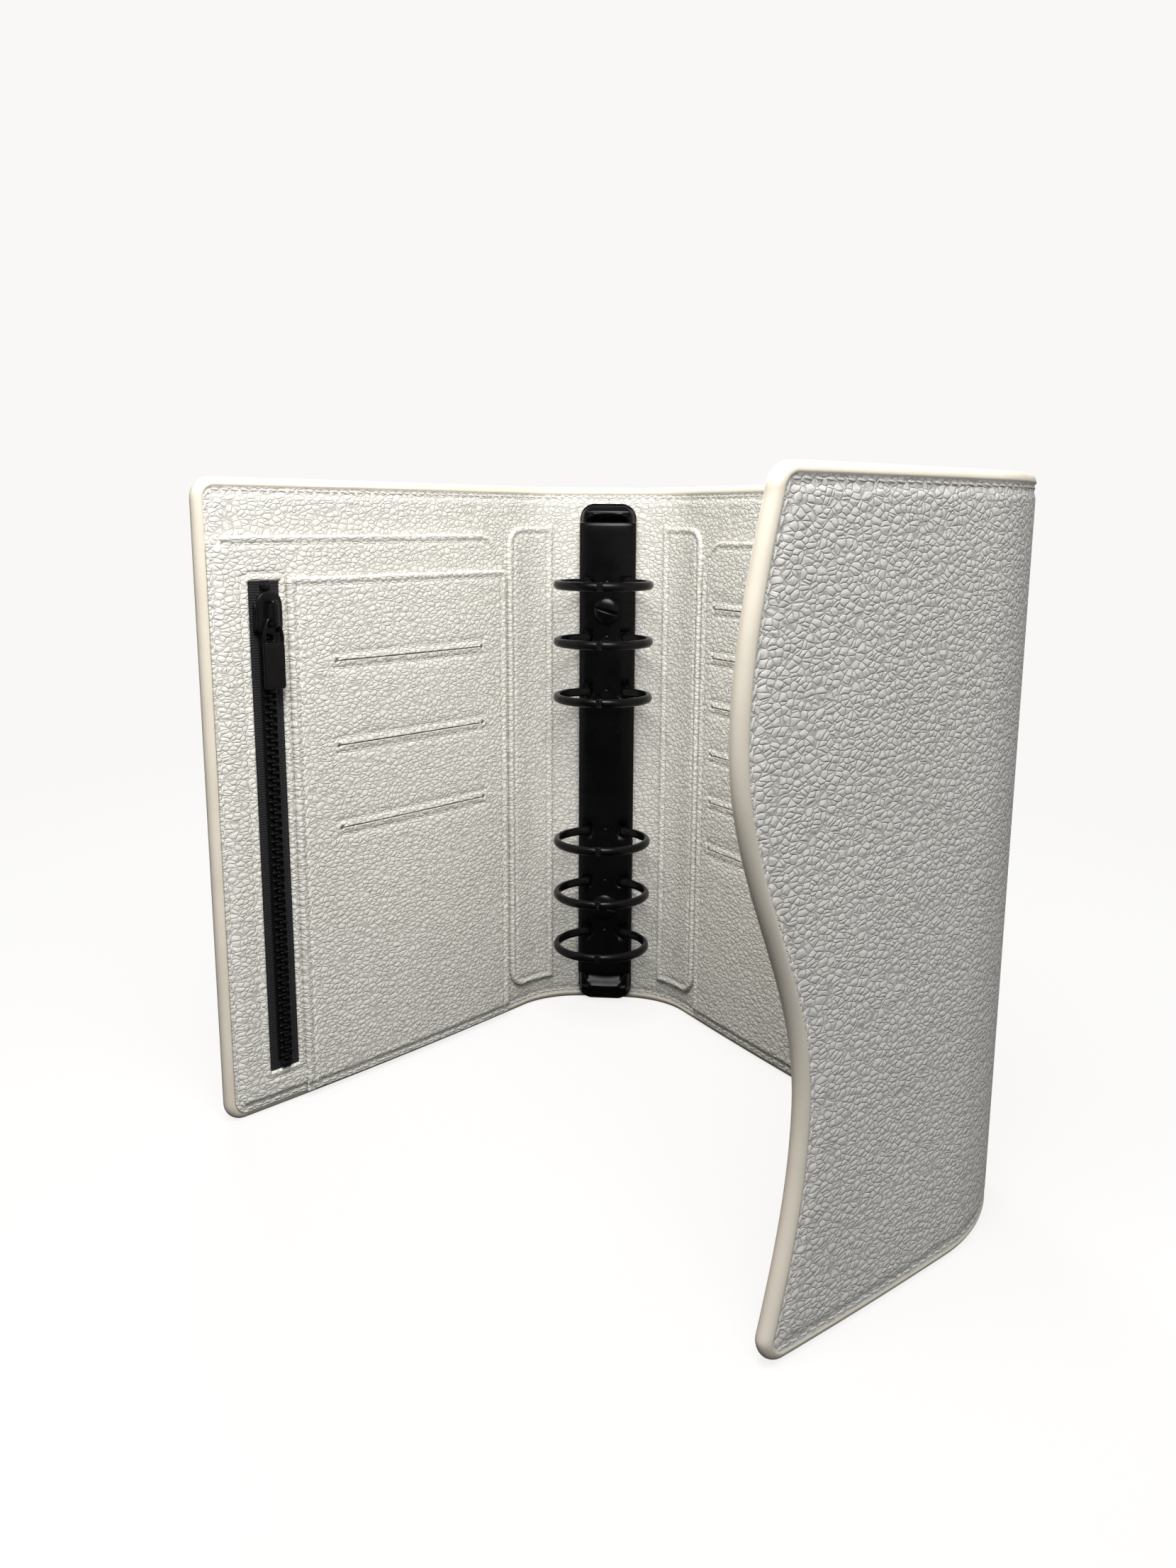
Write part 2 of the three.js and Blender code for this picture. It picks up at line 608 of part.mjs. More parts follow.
const chainHalf = TOOTH_LENGTH / 2 + TOOTH_BEAD;
const stopHeights = { bottom: ZIP_BOTTOM + GAP, top: SLIDER_TOP + GAP };
for (const [name, z] of Object.entries(stopHeights)) {
  const shape = roundedRectangle(-chainHalf, z, chainHalf, z + STOP_LENGTH, all(0));
  add(`zipper_stop_${name}`, through(left, zipMiddle, shape, TEETH_FACE, TEETH_FACE + TOOTH_HEIGHT),
    BLACK_METAL, 0.4, 0.5);
}

const SLIDER_FACE = TEETH_FACE + TOOTH_HEIGHT + GAP;
const SLIDER_OUT = SLIDER_FACE + SLIDER_PLATE;
const sliderHalf = SLIDER_WIDTH / 2;
const block = (x0, x1, z0, z1, w0, w1) => through(left, zipMiddle,
  roundedRectangle(x0, z0, x1, z1, all(0)), w0, w1);
const sliderLow = SLIDER_TOP - SLIDER_LENGTH;
const bridgeTop = SLIDER_TOP - (SLIDER_LENGTH - BRIDGE_LENGTH) / 2;
const bridgeLow = bridgeTop - BRIDGE_LENGTH;
const bridgeInside = SLIDER_OUT + PULL_THICKNESS + 2 * PULL_CLEARANCE;
const bridgeOut = bridgeInside + BRIDGE_BAR;
const bridgeBlock = (z0, z1, w0) => block(-BRIDGE_WIDTH / 2, BRIDGE_WIDTH / 2, z0, z1, w0, bridgeOut);
const slider = [
  block(-sliderHalf, -sliderHalf + SLIDER_FLANGE, sliderLow, SLIDER_TOP, TEETH_FACE, SLIDER_OUT),
  block(sliderHalf - SLIDER_FLANGE, sliderHalf, sliderLow, SLIDER_TOP, TEETH_FACE, SLIDER_OUT),
  bridgeBlock(bridgeTop - BRIDGE_BAR, bridgeTop, SLIDER_FACE),
  bridgeBlock(bridgeLow, bridgeLow + BRIDGE_BAR, SLIDER_FACE),
  bridgeBlock(bridgeLow, bridgeTop, bridgeInside),
].reduce((body, piece) => body.add(piece),
  block(-sliderHalf, sliderHalf, sliderLow, SLIDER_TOP, SLIDER_FACE, SLIDER_OUT));
add('zipper_slider', slider, BLACK_METAL, 0.35, 0.6);

// Pull tab: the square bar over its eye turns inside the slider's bridge
const pullFace = SLIDER_OUT + PULL_CLEARANCE;
const pullTop = bridgeLow + BRIDGE_BAR + PULL_CLEARANCE + PULL_THICKNESS;
const pullShape = roundedRectangle(-PULL_WIDTH / 2, pullTop - PULL_LENGTH, PULL_WIDTH / 2, pullTop,
  all(PULL_CORNER_RADIUS));
const eyeTop = pullTop - PULL_THICKNESS;
const eye = roundedRectangle(-PULL_EYE_WIDTH / 2, eyeTop - PULL_EYE_LENGTH, PULL_EYE_WIDTH / 2, eyeTop, all(0));
const pull = through(left, zipMiddle, pullShape, pullFace, pullFace + PULL_THICKNESS)
  .subtract(through(left, zipMiddle, eye, pullFace - GAP, pullFace + PULL_THICKNESS + GAP));
add('zipper_pull', pull, BLACK_METAL, 0.3, 0.7);

// Ring mechanism, in a frame on the lining: x to the right, y towards the reader, z up
const MECHANISM_FACE = INNER_FACE + GAP;
const mechanism = new THREE.Group();
mechanism.position.set(0, -MECHANISM_FACE, MECHANISM_MIDDLE);
group.add(mechanism);
const towardsReader = new THREE.Matrix4().makeBasis(new THREE.Vector3(1, 0, 0), new THREE.Vector3(0, -1, 0),
  new THREE.Vector3(0, 0, -1));

// Bar whose section is drawn in x and height above the lining
function bar(points, low, high) {
  const geometry = new THREE.ExtrudeGeometry(new THREE.Shape(points), { depth: high - low, bevelEnabled: false });
  geometry.translate(0, 0, -high);
  geometry.applyMatrix4(towardsReader);
  return solidOf(geometry);
}

function rectangle(x0, y0, x1, y1) {
  return [[x0, y0], [x1, y0], [x1, y1], [x0, y1]].map(([x, y]) => new THREE.Vector2(x, y));
}

// Turned piece standing on the lining, its profile drawn as radius and height
function turned(profile, x, z) {
  const geometry = new THREE.LatheGeometry(profile.map(([r, h]) => new THREE.Vector2(r, h)), TURNED_STEPS);
  geometry.rotateX(Math.PI);
  geometry.translate(x, 0, z);
  return solidOf(geometry);
}

// Outer line of the arched cover, or its inner line when set in by the sheet's thickness
function archLine(inset) {
  const half = ARCH_HALF_WIDTH - inset;
  const crown = new THREE.EllipseCurve(0, ARCH_SHOULDER_HEIGHT - inset, half, ARCH_HEIGHT - ARCH_SHOULDER_HEIGHT,
    0, Math.PI);
  return [new THREE.Vector2(half, 0), ...crown.getPoints(2 * CURVE_STEPS), new THREE.Vector2(-half, 0)];
}

const ringHeights = [-1, 1].flatMap((side) => [0, 1, 2].map((i) => side * (RING_GROUP_HALF + i * RING_PITCH)))
  .sort((a, b) => b - a);
const archHalf = ARCH_LENGTH / 2;
const notchSides = [[NOTCH_INNER, NOTCH_OUTER], [-NOTCH_OUTER, -NOTCH_INNER]];
const notches = ringHeights.flatMap((z) => notchSides.map(([x0, x1]) => bar(
  rectangle(x0, GAP, x1, 2 * ARCH_HEIGHT), z - NOTCH_HALF_HEIGHT, z + NOTCH_HALF_HEIGHT)));
const shankHoles = screwPlaces.map((z) => turned([[0, 0], [POST_BORE, 0], [POST_BORE, 2 * ARCH_HEIGHT],
  [0, 2 * ARCH_HEIGHT]], 0, z));
const arch = bar([...archLine(0), ...archLine(ARCH_SHEET).toReversed()], -archHalf, archHalf);
add('ring_arch', minus(arch, [...notches, ...shankHoles]), BLACK_METAL, 0.35, 0.6, mechanism);

// Blades under the arch: each carries the half rings of its side
const bladeHalf = archHalf - BLADE_END_MARGIN;
const bladeTop = BLADE_LIFT + BLADE_THICKNESS;
const postNotches = screwPlaces.map((z) => turned([[0, 0], [POST_RADIUS + 2 * GAP, 0],
  [POST_RADIUS + 2 * GAP, ARCH_HEIGHT], [0, ARCH_HEIGHT]], 0, z));
for (const [name, side] of [['left_blade', -1], ['right_blade', 1]]) {
  const [x0, x1] = [side * GAP / 2, side * BLADE_HALF_WIDTH].sort((a, b) => a - b);
  const blade = bar(rectangle(x0, BLADE_LIFT, x1, bladeTop), -bladeHalf, bladeHalf);
  add(name, minus(blade, postNotches), DARK_STEEL, 0.4, 0.8, mechanism);
}

// Half ring: from its foot on the blade, through the notch and round to the joint in front
const ringSection = new THREE.Shape();
ringSection.absarc(0, 0, RING_WIRE_RADIUS, 0, 2 * Math.PI, false);
const turnIn = Math.asin((RING_FOOT + RING_FOOT_BEND) / (RING_RADIUS + RING_FOOT_BEND));
const bendCentreLift = RING_CENTRE_LIFT - (RING_RADIUS + RING_FOOT_BEND) * Math.cos(turnIn);
function halfRingPoints(side) {
  const points = [new THREE.Vector3(side * RING_FOOT, -(bladeTop + GAP), 0)];
  for (let i = 0; i <= FOOT_STEPS; i += 1) {
    const angle = (turnIn - Math.PI / 2) * (i / FOOT_STEPS);
    const x = RING_FOOT + RING_FOOT_BEND * (1 - Math.cos(angle));
    points.push(new THREE.Vector3(side * x, -(bendCentreLift - RING_FOOT_BEND * Math.sin(angle)), 0));
  }
  const steps = 2 * CURVE_STEPS;
  const joint = GAP / 2 / RING_RADIUS;
  for (let i = 1; i <= steps; i += 1) {
    const angle = turnIn + (Math.PI - joint - turnIn) * (i / steps);
    const x = RING_RADIUS * Math.sin(angle);
    points.push(new THREE.Vector3(side * x, -(RING_CENTRE_LIFT - RING_RADIUS * Math.cos(angle)), 0));
  }
  return points;
}
const sides = { left: -1, right: 1 };
for (const [name, side] of Object.entries(sides)) {
  const wire = new THREE.ExtrudeGeometry(ringSection, {
    steps: RING_STEPS,
    extrudePath: new THREE.CatmullRomCurve3(halfRingPoints(side), false, 'centripetal'),
    curveSegments: RING_SECTION_STEPS,
  });
  const solid = solidOf(wire);
  ringHeights.forEach((z, index) => {
    const ring = add(`${name}_half_ring_${index + 1}`, solid, BLACK_METAL, 0.3, 0.7, mechanism);
    ring.position.z = z;
  });
}

// Screws and their posts
screwPlaces.forEach((z, index) => {
  const name = ['upper', 'lower'][index];
  const seat = ARCH_HEIGHT + GAP;
  const floor = BOARD_OUTER - MECHANISM_FACE;
  const shankEnd = floor + POST_FLANGE + 2 * GAP;
  const head = turned([
    [0, shankEnd],
    [SCREW_SHANK_RADIUS, shankEnd],
    [SCREW_SHANK_RADIUS, seat],
    [SCREW_HEAD_RADIUS, seat],
    [SCREW_HEAD_RADIUS, seat + SCREW_RIM_HEIGHT],
    [SCREW_SHOULDER_RADIUS, seat + SCREW_SHOULDER_HEIGHT],
    [0, seat + SCREW_HEAD_HEIGHT],
  ], 0, z);
  const slot = new THREE.BoxGeometry(3 * SCREW_HEAD_RADIUS, 2 * SLOT_DEPTH, SLOT_WIDTH);
  slot.rotateY(THREE.MathUtils.degToRad(-SLOT_TURN_DEG));
  slot.translate(0, -(seat + SCREW_HEAD_HEIGHT), z);
  add(`${name}_screw`, head.subtract(solidOf(slot)), BLACK_METAL, 0.3, 0.8, mechanism);
  const post = turned([
    [0, floor],
    [POST_FLANGE_RADIUS, floor],
    [POST_FLANGE_RADIUS, floor + POST_FLANGE],
    [POST_RADIUS, floor + POST_FLANGE],
    [POST_RADIUS, ARCH_HEIGHT - ARCH_SHEET - GAP],
    [POST_BORE, ARCH_HEIGHT - ARCH_SHEET - GAP],
    [POST_BORE, floor + POST_FLANGE],
    [0, floor + POST_FLANGE],
  ], 0, z);
  add(`${name}_screw_post`, post, DARK_STEEL, 0.4, 0.8, mechanism);
});

// Levers at both ends: a nose under the arch and a wide tab that stands up past its end
for (const [name, side] of [['upper_lever', 1], ['lower_lever', -1]]) {
  const root = archHalf + GAP;
  const tip = archHalf + LEVER_REACH;
  const slab = (points, halfWidth) => {
    const shape = new THREE.Shape(points.map(([z, h]) => new THREE.Vector2(z, h)));
    const geometry = new THREE.ExtrudeGeometry(shape, { depth: 2 * halfWidth, bevelEnabled: false });
    geometry.translate(0, 0, -halfWidth);
    geometry.applyMatrix4(new THREE.Matrix4().makeBasis(new THREE.Vector3(0, 0, side),
      new THREE.Vector3(0, -1, 0), new THREE.Vector3(side, 0, 0)));
    return solidOf(geometry);
  };
  const nose = slab([
    [archHalf - LEVER_NOSE, BLADE_LIFT],
    [root + LEVER_THICKNESS, BLADE_LIFT],
    [root + LEVER_THICKNESS, BLADE_LIFT + LEVER_THICKNESS],
    [archHalf - LEVER_NOSE, BLADE_LIFT + LEVER_THICKNESS],
  ], LEVER_NOSE_HALF_WIDTH);
  const tab = slab([
    [root, BLADE_LIFT],
    [tip, BLADE_LIFT + LEVER_SLOPE],
    [tip, LEVER_RISE],
    [tip - LEVER_THICKNESS, LEVER_RISE],
    [tip - LEVER_THICKNESS, BLADE_LIFT + LEVER_SLOPE + LEVER_THICKNESS],
    [root, BLADE_LIFT + LEVER_THICKNESS],
  ], ARCH_HALF_WIDTH);
  add(name, nose.add(tab), BLACK_METAL, 0.35, 0.6, mechanism);
}

export default group;
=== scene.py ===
import math

import bpy
import numpy as np
from mathutils import Matrix, Vector


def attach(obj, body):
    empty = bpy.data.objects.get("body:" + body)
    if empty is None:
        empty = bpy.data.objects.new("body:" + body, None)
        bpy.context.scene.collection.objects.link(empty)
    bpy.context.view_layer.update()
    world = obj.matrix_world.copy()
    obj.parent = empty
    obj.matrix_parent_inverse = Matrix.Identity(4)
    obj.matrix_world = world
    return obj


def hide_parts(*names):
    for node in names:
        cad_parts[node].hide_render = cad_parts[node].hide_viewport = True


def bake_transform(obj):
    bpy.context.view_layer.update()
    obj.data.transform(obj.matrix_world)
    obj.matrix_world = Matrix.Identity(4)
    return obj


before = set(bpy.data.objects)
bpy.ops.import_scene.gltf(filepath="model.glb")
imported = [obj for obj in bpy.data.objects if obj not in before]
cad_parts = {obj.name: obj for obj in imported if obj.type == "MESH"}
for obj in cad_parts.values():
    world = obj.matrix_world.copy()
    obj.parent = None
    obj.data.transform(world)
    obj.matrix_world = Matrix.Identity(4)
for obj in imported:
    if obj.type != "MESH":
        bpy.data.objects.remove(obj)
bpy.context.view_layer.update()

# Lengths of the object are in millimetres, and MM turns them into metres.
# The floor, the lights and the camera are in metres.
MM = 0.001

# Wall of the wallet: its course in plan as runs of length and turn in degrees
WALL = 4.5
HEIGHT = 189.0
SPINE_RUNS = [(7.5, 0.0), (27.5, 57.0)]
FRONT_RUNS = [(128.0, -5.0)]
BACK_RUNS = [(130.0, -5.0), (19.4, 46.8), (34.6, 34.2), (5.0, 0.0), (78.5, 3.1)]
FRONT_END = 163.0
GUSSET_START = 165.0
GUSSET_SEAM = 196.0
FLAP_START = 224.0
BACK_SEAM = 100.0
CORNER = 6.0

# Places on the course on either side of each hinge, passed to the wall pieces but not used to bend the
# leather
SPINE_BLEND = (10.5, 32.0)
GUSSET_BLEND = (158.0, 173.0)
FLAP_BLEND = (216.0, 232.0)

# Painted edge, the pressed margin inside it and the stitches there
EDGE_RADIUS = 2.25
PAINT_END = 2.45
MARGIN_END = 4.2
MARGIN_RISE = 1.5
MARGIN_DROP = 0.4
EDGE_STITCH = 3.4

# Stitches
STITCH_PITCH = 3.1
STITCH_LENGTH = 2.3
STITCH_WIDTH = 0.62
STITCH_HEIGHT = 0.42
STITCH_SLANT = math.radians(7)

# Panels: thickness, folded and sewn edges
PANEL_THICKNESS = 1.1
PANEL_FACE = WALL / 2 + 0.05
FOLD_RADIUS = 0.55
FOLD_RIDGE = 0.2
FOLD_STITCH = 2.5
SEWN_LEVEL = 0.35
SLIT_HALF = 0.2
SLIT_HOLE = 0.75
SLIT_STITCH = 2.3
BASE_THICKNESS = PANEL_THICKNESS + 0.2
PANEL_CORNER = 12.0
SEWN_STITCH = 3.4
STRIP_THICKNESS = 1.3
STRIP_CORNER = 6.5

# Panels and strips: near and far place on the course, low and high edge
POCKET_BOX = (46.5, 160.6, 2.4, 173.2)
CARD_BOX = (46.5, 136.0, 2.4, 161.2)
BACK_BOX = (45.0, 160.0, 2.4, 171.3)
STRIP_BOX = (21.7, 43.6, 9.5, 175.5)

# Slits: start on the course, length, height of the top one, distance to the next and number
CARD_SLITS = (58.2, 62.6, 136.0, 25.8, 3)
BACK_SLITS = (52.2, 95.0, 149.0, 16.5, 6)

# Ring mechanism
MECHANISM_FACE = 2.55
MECHANISM_MIDDLE = 92.4
ARCH_HALF_WIDTH = 9.9
ARCH_HEIGHT = 5.5
ARCH_SHOULDER = 3.3
ARCH_SHEET = 0.9
ARCH_HALF = 84.5
ARCH_HOLE_PLACE = 6.4
ARCH_HOLE_HALF = (2.25, 2.05)
LEVER_LAP = 3.6
LEVER_TIP = 91.0
LEVER_LIP = 5.5
LEVER_FLOOR = 3.0
LEVER_CORNER = 5.2
RING_RADIUS = 15.8
RING_LIFT = 20.5
RING_FOOT = 6.2
RING_BEND = 2.4
RING_BLADE = 1.9
RING_WIRE = (1.5, 1.25)
RING_OFFSETS = [63.9, 44.7, 25.5, -25.5, -44.7, -63.9]
SCREW_OFFSETS = [54.2, -54.2]
SCREW_RADIUS = 4.5
SCREW_HEIGHT = 1.9
SCREW_SLOT_TURN = math.radians(17)
SCREW_SLOT_HALF = 0.53
SCREW_SLOT_DEPTH = 1.0

# Zipper, round the middle of its window
ZIP_MIDDLE = 143.4
ZIP_HALF = 5.1
ZIP_LOW = 12.8
ZIP_HIGH = 160.3
TAPE_FACE = 2.55
TEETH_FACE = 3.45
TOOTH_PITCH = 2.4
SLIDER_TOP = 157.6
SLIDER_LENGTH = 12.0
SLIDER_FACE = 4.95
SLIDER_OUT = 5.95
BRIDGE_LOW = 147.5
BRIDGE_HIGH = 155.7
BRIDGE_OUT = 9.15
PULL_AXIS = (149.65, 7.0)
PULL_LENGTH = 20.4
PULL_HALF_WIDTH = 3.5
PULL_EYE = 6.2
PULL_WIRE_HALF = 3.0
TOOTH_PLACE = 0.75
TOOTH_SIZE = (1.35, 0.5, 0.65)
STOP_SIZE = (1.6, 0.95, 0.62)
CORD_PLACE = 2.1
SLIDER_HALF = 4.3
SLIDER_CORNERS = (2.4, 3.9)
SLIDER_RAIL = 3.9

# Distances from an edge at which a sheet's grid has a line
EDGE_LINES = [0, .04, .15, .33, .6, .95, 1.35, 1.8, 2.25, 2.6, 3.0, 3.4, 3.8, 4.3, 4.8, 5.4]
EDGE_LINES += [6.2, 7.4, 9, 11, 13.5]
SEAM_LINES = [0, .3, 1.2, 2.4]


def smooth(x):
    """Smooth step from 0 to 1."""
    x = np.clip(x, 0, 1)
    return x * x * (3 - 2 * x)


def bump(x, width):
    """Soft ridge of height 1 and about that half width."""
    return np.exp(-(x / width) ** 2)


class Course:
    """Half of the leather's line in plan: u runs along it, w through the wall towards the reader."""

    def __init__(self, side, runs):
        self.side = side
        self.mirrored = side < 0
        self.runs = []
        u = x = d = heading = 0.0
        for length, degrees in runs:
            run = (u, x, d, heading, math.radians(degrees) / length)
            self.runs.append(run)
            x, d, heading = (float(value) for value in self.along(run, length))
            u += length

    @staticmethod
    def along(run, s):
        _, x, d, heading, curvature = run
        turned = heading + curvature * s
        if abs(curvature) < 1e-9:
            return x + np.cos(heading) * s, d + np.sin(heading) * s, turned
        return (x + (np.sin(turned) - np.sin(heading)) / curvature,
                d + (np.cos(heading) - np.cos(turned)) / curvature, turned)

    def station(self, u):
        u = np.asarray(u, float)
        x, d, heading = (np.zeros_like(u) for _ in range(3))
        for run in self.runs:
            here = self.along(run, u - run[0])
            on = u >= run[0]
            x, d, heading = (np.where(on, new, old) for new, old in zip(here, (x, d, heading)))
        return x, d, heading

    def place(self, u, z, w):
        x, d, heading = self.station(u)
        across = self.side * (x - w * np.sin(heading))
        return np.stack([across, -(d + w * np.cos(heading)), z + 0 * u], -1) * MM


class Flat:
    """Flat frame on a course at one place: a runs along it, z up, w towards the reader."""

    def __init__(self, course, u):
        x, d, heading = course.station(u)
        side = course.side
        self.mirrored = side < 0
        self.origin = np.array([side * x, -d, 0.0])
        self.along = np.array([side * np.cos(heading), -np.sin(heading), 0.0])
        self.inward = np.array([-side * np.sin(heading), -np.cos(heading), 0.0])

    def place(self, a, z, w):
        a, z, w = (np.asarray(value, float) for value in (a, z, w))
        up = np.array([0.0, 0.0, 1.0])
        return (self.origin + a[..., None] * self.along + z[..., None] * up + w[..., None] * self.inward) * MM


left = Course(-1, SPINE_RUNS + FRONT_RUNS)
right = Course(1, SPINE_RUNS + BACK_RUNS)
zip_frame = Flat(left, ZIP_MIDDLE)


class Piece:
    """One mesh in the making, with places on the leather and distances from a painted edge."""

    def __init__(self, name, *materials):
        self.name = name
        self.materials = materials
        self.points = []
        self.faces = []
        self.finishes = []
        self.places = []
        self.rims = []
        self.count = 0

    def add(self, points, faces, places, rims, finish=0):
        points = np.asarray(points, float).reshape(-1, 3)
        self.points.append(points)
        self.places.append(np.asarray(places, float).reshape(-1, 2))
        self.rims.append(np.broadcast_to(np.asarray(rims, float), (len(points),)))
        self.faces.extend([tuple(int(i) + self.count for i in face) for face in faces])
        self.finishes.extend([finish] * len(faces))
        self.count += len(points)

    def build(self):
        mesh = bpy.data.meshes.new(self.name)
        mesh.from_pydata(np.concatenate(self.points).tolist(), [], self.faces)
        mesh.polygons.foreach_set("material_index", self.finishes)
        mesh.polygons.foreach_set("use_smooth", [True] * len(mesh.polygons))
        corners = np.zeros(len(mesh.loops), np.int32)
        mesh.loops.foreach_get("vertex_index", corners)
        layer = mesh.uv_layers.new(name="UVMap")
        layer.data.foreach_set("uv", (np.concatenate(self.places)[corners] * MM).ravel())
        rim = mesh.attributes.new("rim", "FLOAT", "POINT")
        rim.data.foreach_set("value", np.concatenate(self.rims).astype(np.float32))
        for material in self.materials:
            mesh.materials.append(material)
        mesh.validate()
        piece = bpy.data.objects.new(self.name, mesh)
        bpy.context.scene.collection.objects.link(piece)
        return piece


def ride(piece, body, *nodes, slot="leather"):
    made = piece.build()
    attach(made, body)
    if nodes:
        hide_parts(*nodes)


NO_RIM = 99.0


def sheet(piece, frame_on, across, up, front, back, keep=None, rims=NO_RIM):
    """Closed sheet on a grid: its front and back are heights w over the grid, cells not kept are holes."""
    rows, columns = across.shape
    keep = np.ones((rows - 1, columns - 1), bool) if keep is None else keep
    index = np.arange(rows * columns).reshape(rows, columns)
    quads = [index[:-1, :-1], index[:-1, 1:], index[1:, 1:], index[1:, :-1]]
    top = np.stack([q[keep] for q in quads], -1)
    below = top[:, ::-1] + rows * columns
    padded = np.zeros((rows + 1, columns + 1), bool)
    padded[1:-1, 1:-1] = keep
    walls = []
    sides = [((-1, 0), index[:-1, :-1], index[:-1, 1:]), ((1, 0), index[1:, 1:], index[1:, :-1]),
             ((0, 1), index[:-1, 1:], index[1:, 1:]), ((0, -1), index[1:, :-1], index[:-1, :-1])]
    for (dj, di), first, second in sides:
        beside = padded[1 + dj:rows + dj, 1 + di:columns + di]
        open_side = keep & ~beside
        a, b = first[open_side], second[open_side]
        walls.append(np.stack([b, a, a + rows * columns, b + rows * columns], -1))
    faces = np.concatenate([top, below, *walls])
    if frame_on.mirrored:
        faces = faces[:, ::-1]
    points = np.concatenate([frame_on.place(across, up, w).reshape(-1, 3) for w in (front, back)])
    places = np.tile(np.stack([across.ravel(), up.ravel()], -1), (2, 1))
    rims = np.tile(np.broadcast_to(rims, across.shape).ravel(), 2)
    used, inverse = np.unique(faces, return_inverse=True)
    piece.add(points[used], inverse.reshape(faces.shape), places[used], rims[used])


def lines(low, high, step, near_low=EDGE_LINES, near_high=EDGE_LINES, exact=()):
    """Grid lines between two limits: close together near each end, and on every exact place."""
    wanted = [low + d for d in near_low] + [high - d for d in near_high]
    wanted += list(np.linspace(low, high, max(2, int((high - low) / step) + 1)))
    fixed = sorted({round(float(x), 4) for x in [low, high, *exact] if low <= x <= high})
    clear = 0.03
    chosen = list(fixed)
    for x in wanted:
        if low < x < high and min(abs(x - y) for y in chosen) > clear:
            chosen.append(float(x))
    return np.array(sorted(chosen))


def arc(centre, radius, first, last, count=6):
    """Points round an arc between two directions in degrees."""
    turns = [math.radians(first + (last - first) * k / count) for k in range(count + 1)]
    return [(centre[0] + radius * math.cos(turn), centre[1] + radius * math.sin(turn)) for turn in turns]


def round_in(distance_a, distance_b, radius):
    """Distance in from two edges that meet in a round corner."""
    corner = (distance_a < radius) & (distance_b < radius)
    arc = radius - np.hypot(radius - distance_a, radius - distance_b)
    return np.where(corner, arc, np.minimum(distance_a, distance_b))


def corner_cut(distance, radius):
    """How far a row's end draws back at this distance from the edge, for a round corner."""
    inside = np.minimum(distance, radius)
    return radius - np.sqrt(np.maximum(radius ** 2 - (radius - inside) ** 2, 0))


def fit_columns(across, low_end, high_end, reach, near=5.5):
    """Moves the grid's columns to where each row ends, evenly near the end and less and less further in."""
    low, high = across.min(), across.max()
    low_share = np.clip((low + reach - across) / (reach - near), 0, 1)
    high_share = np.clip((across - high + reach) / (reach - near), 0, 1)
    return across + (low_end - low) * low_share + (high_end - high) * high_share


def pebble_mesh(rings=5, sides=6):
    """Unit ball as points and faces."""
    points = [(-1.0, 0.0, 0.0)]
    for i in range(1, rings):
        lift = math.pi * i / rings
        for k in range(sides):
            turn = 2 * math.pi * k / sides
            points.append((-math.cos(lift), math.sin(lift) * math.cos(turn), math.sin(lift) * math.sin(turn)))
    points.append((1.0, 0.0, 0.0))
    faces = [(0, 1 + (k + 1) % sides, 1 + k) for k in range(sides)]
    for i in range(rings - 2):
        for k in range(sides):
            a, b = 1 + i * sides + k, 1 + i * sides + (k + 1) % sides
            faces.append((a, b, b + sides, a + sides))
    last = len(points) - 1
    faces += [(last, last - sides + k, last - sides + (k + 1) % sides) for k in range(sides)]
    return np.array(points), faces


def balls(piece, frame_on, centres, directions, sizes, finish=0, power=1.0, rings=5, sides=6):
    """Small rounded blocks: centres are (u, z, w), directions lie in u and z, sizes are half lengths."""
    unit, faces = pebble_mesh(rings, sides)
    unit = np.sign(unit) * np.abs(unit) ** power
    for (u, z, w), (du, dz) in zip(centres, directions):
        a = u + unit[:, 0] * du * sizes[0] - unit[:, 1] * dz * sizes[1]
        b = z + unit[:, 0] * dz * sizes[0] + unit[:, 1] * du * sizes[1]
        points = frame_on.place(a, b, w + unit[:, 2] * sizes[2])
        ordered = [face[::-1] for face in faces] if frame_on.mirrored else faces
        piece.add(points, ordered, np.stack([unit[:, 0], unit[:, 1]], -1), NO_RIM, finish)


def stitches(piece, course, corners, level):
    """Row of stitches along a line through (u, z) places; level gives the leather's height w there."""
    corners = [np.array(corner, float) for corner in corners]
    lengths = [np.linalg.norm(b - a) for a, b in zip(corners, corners[1:])]
    total = sum(lengths)
    count = max(1, int(total / STITCH_PITCH))
    centres, directions = [], []
    for k in range(count):
        s = (k + 0.5) * total / count
        for a, b, length in zip(corners, corners[1:], lengths):
            if s <= length:
                break
            s -= length
        spot = a + (b - a) * min(s / length, 1.0)
        along = (b - a) / length
        slant = np.array([along[0] - along[1] * STITCH_SLANT, along[1] + along[0] * STITCH_SLANT])
        centres.append((spot[0], spot[1], float(level(np.array(spot[0]), np.array(spot[1])))))
        directions.append(slant)
    sizes = (STITCH_LENGTH / 2, STITCH_WIDTH / 2, STITCH_HEIGHT / 2)
    balls(piece, course, centres, directions, sizes, finish=1, power=0.8)


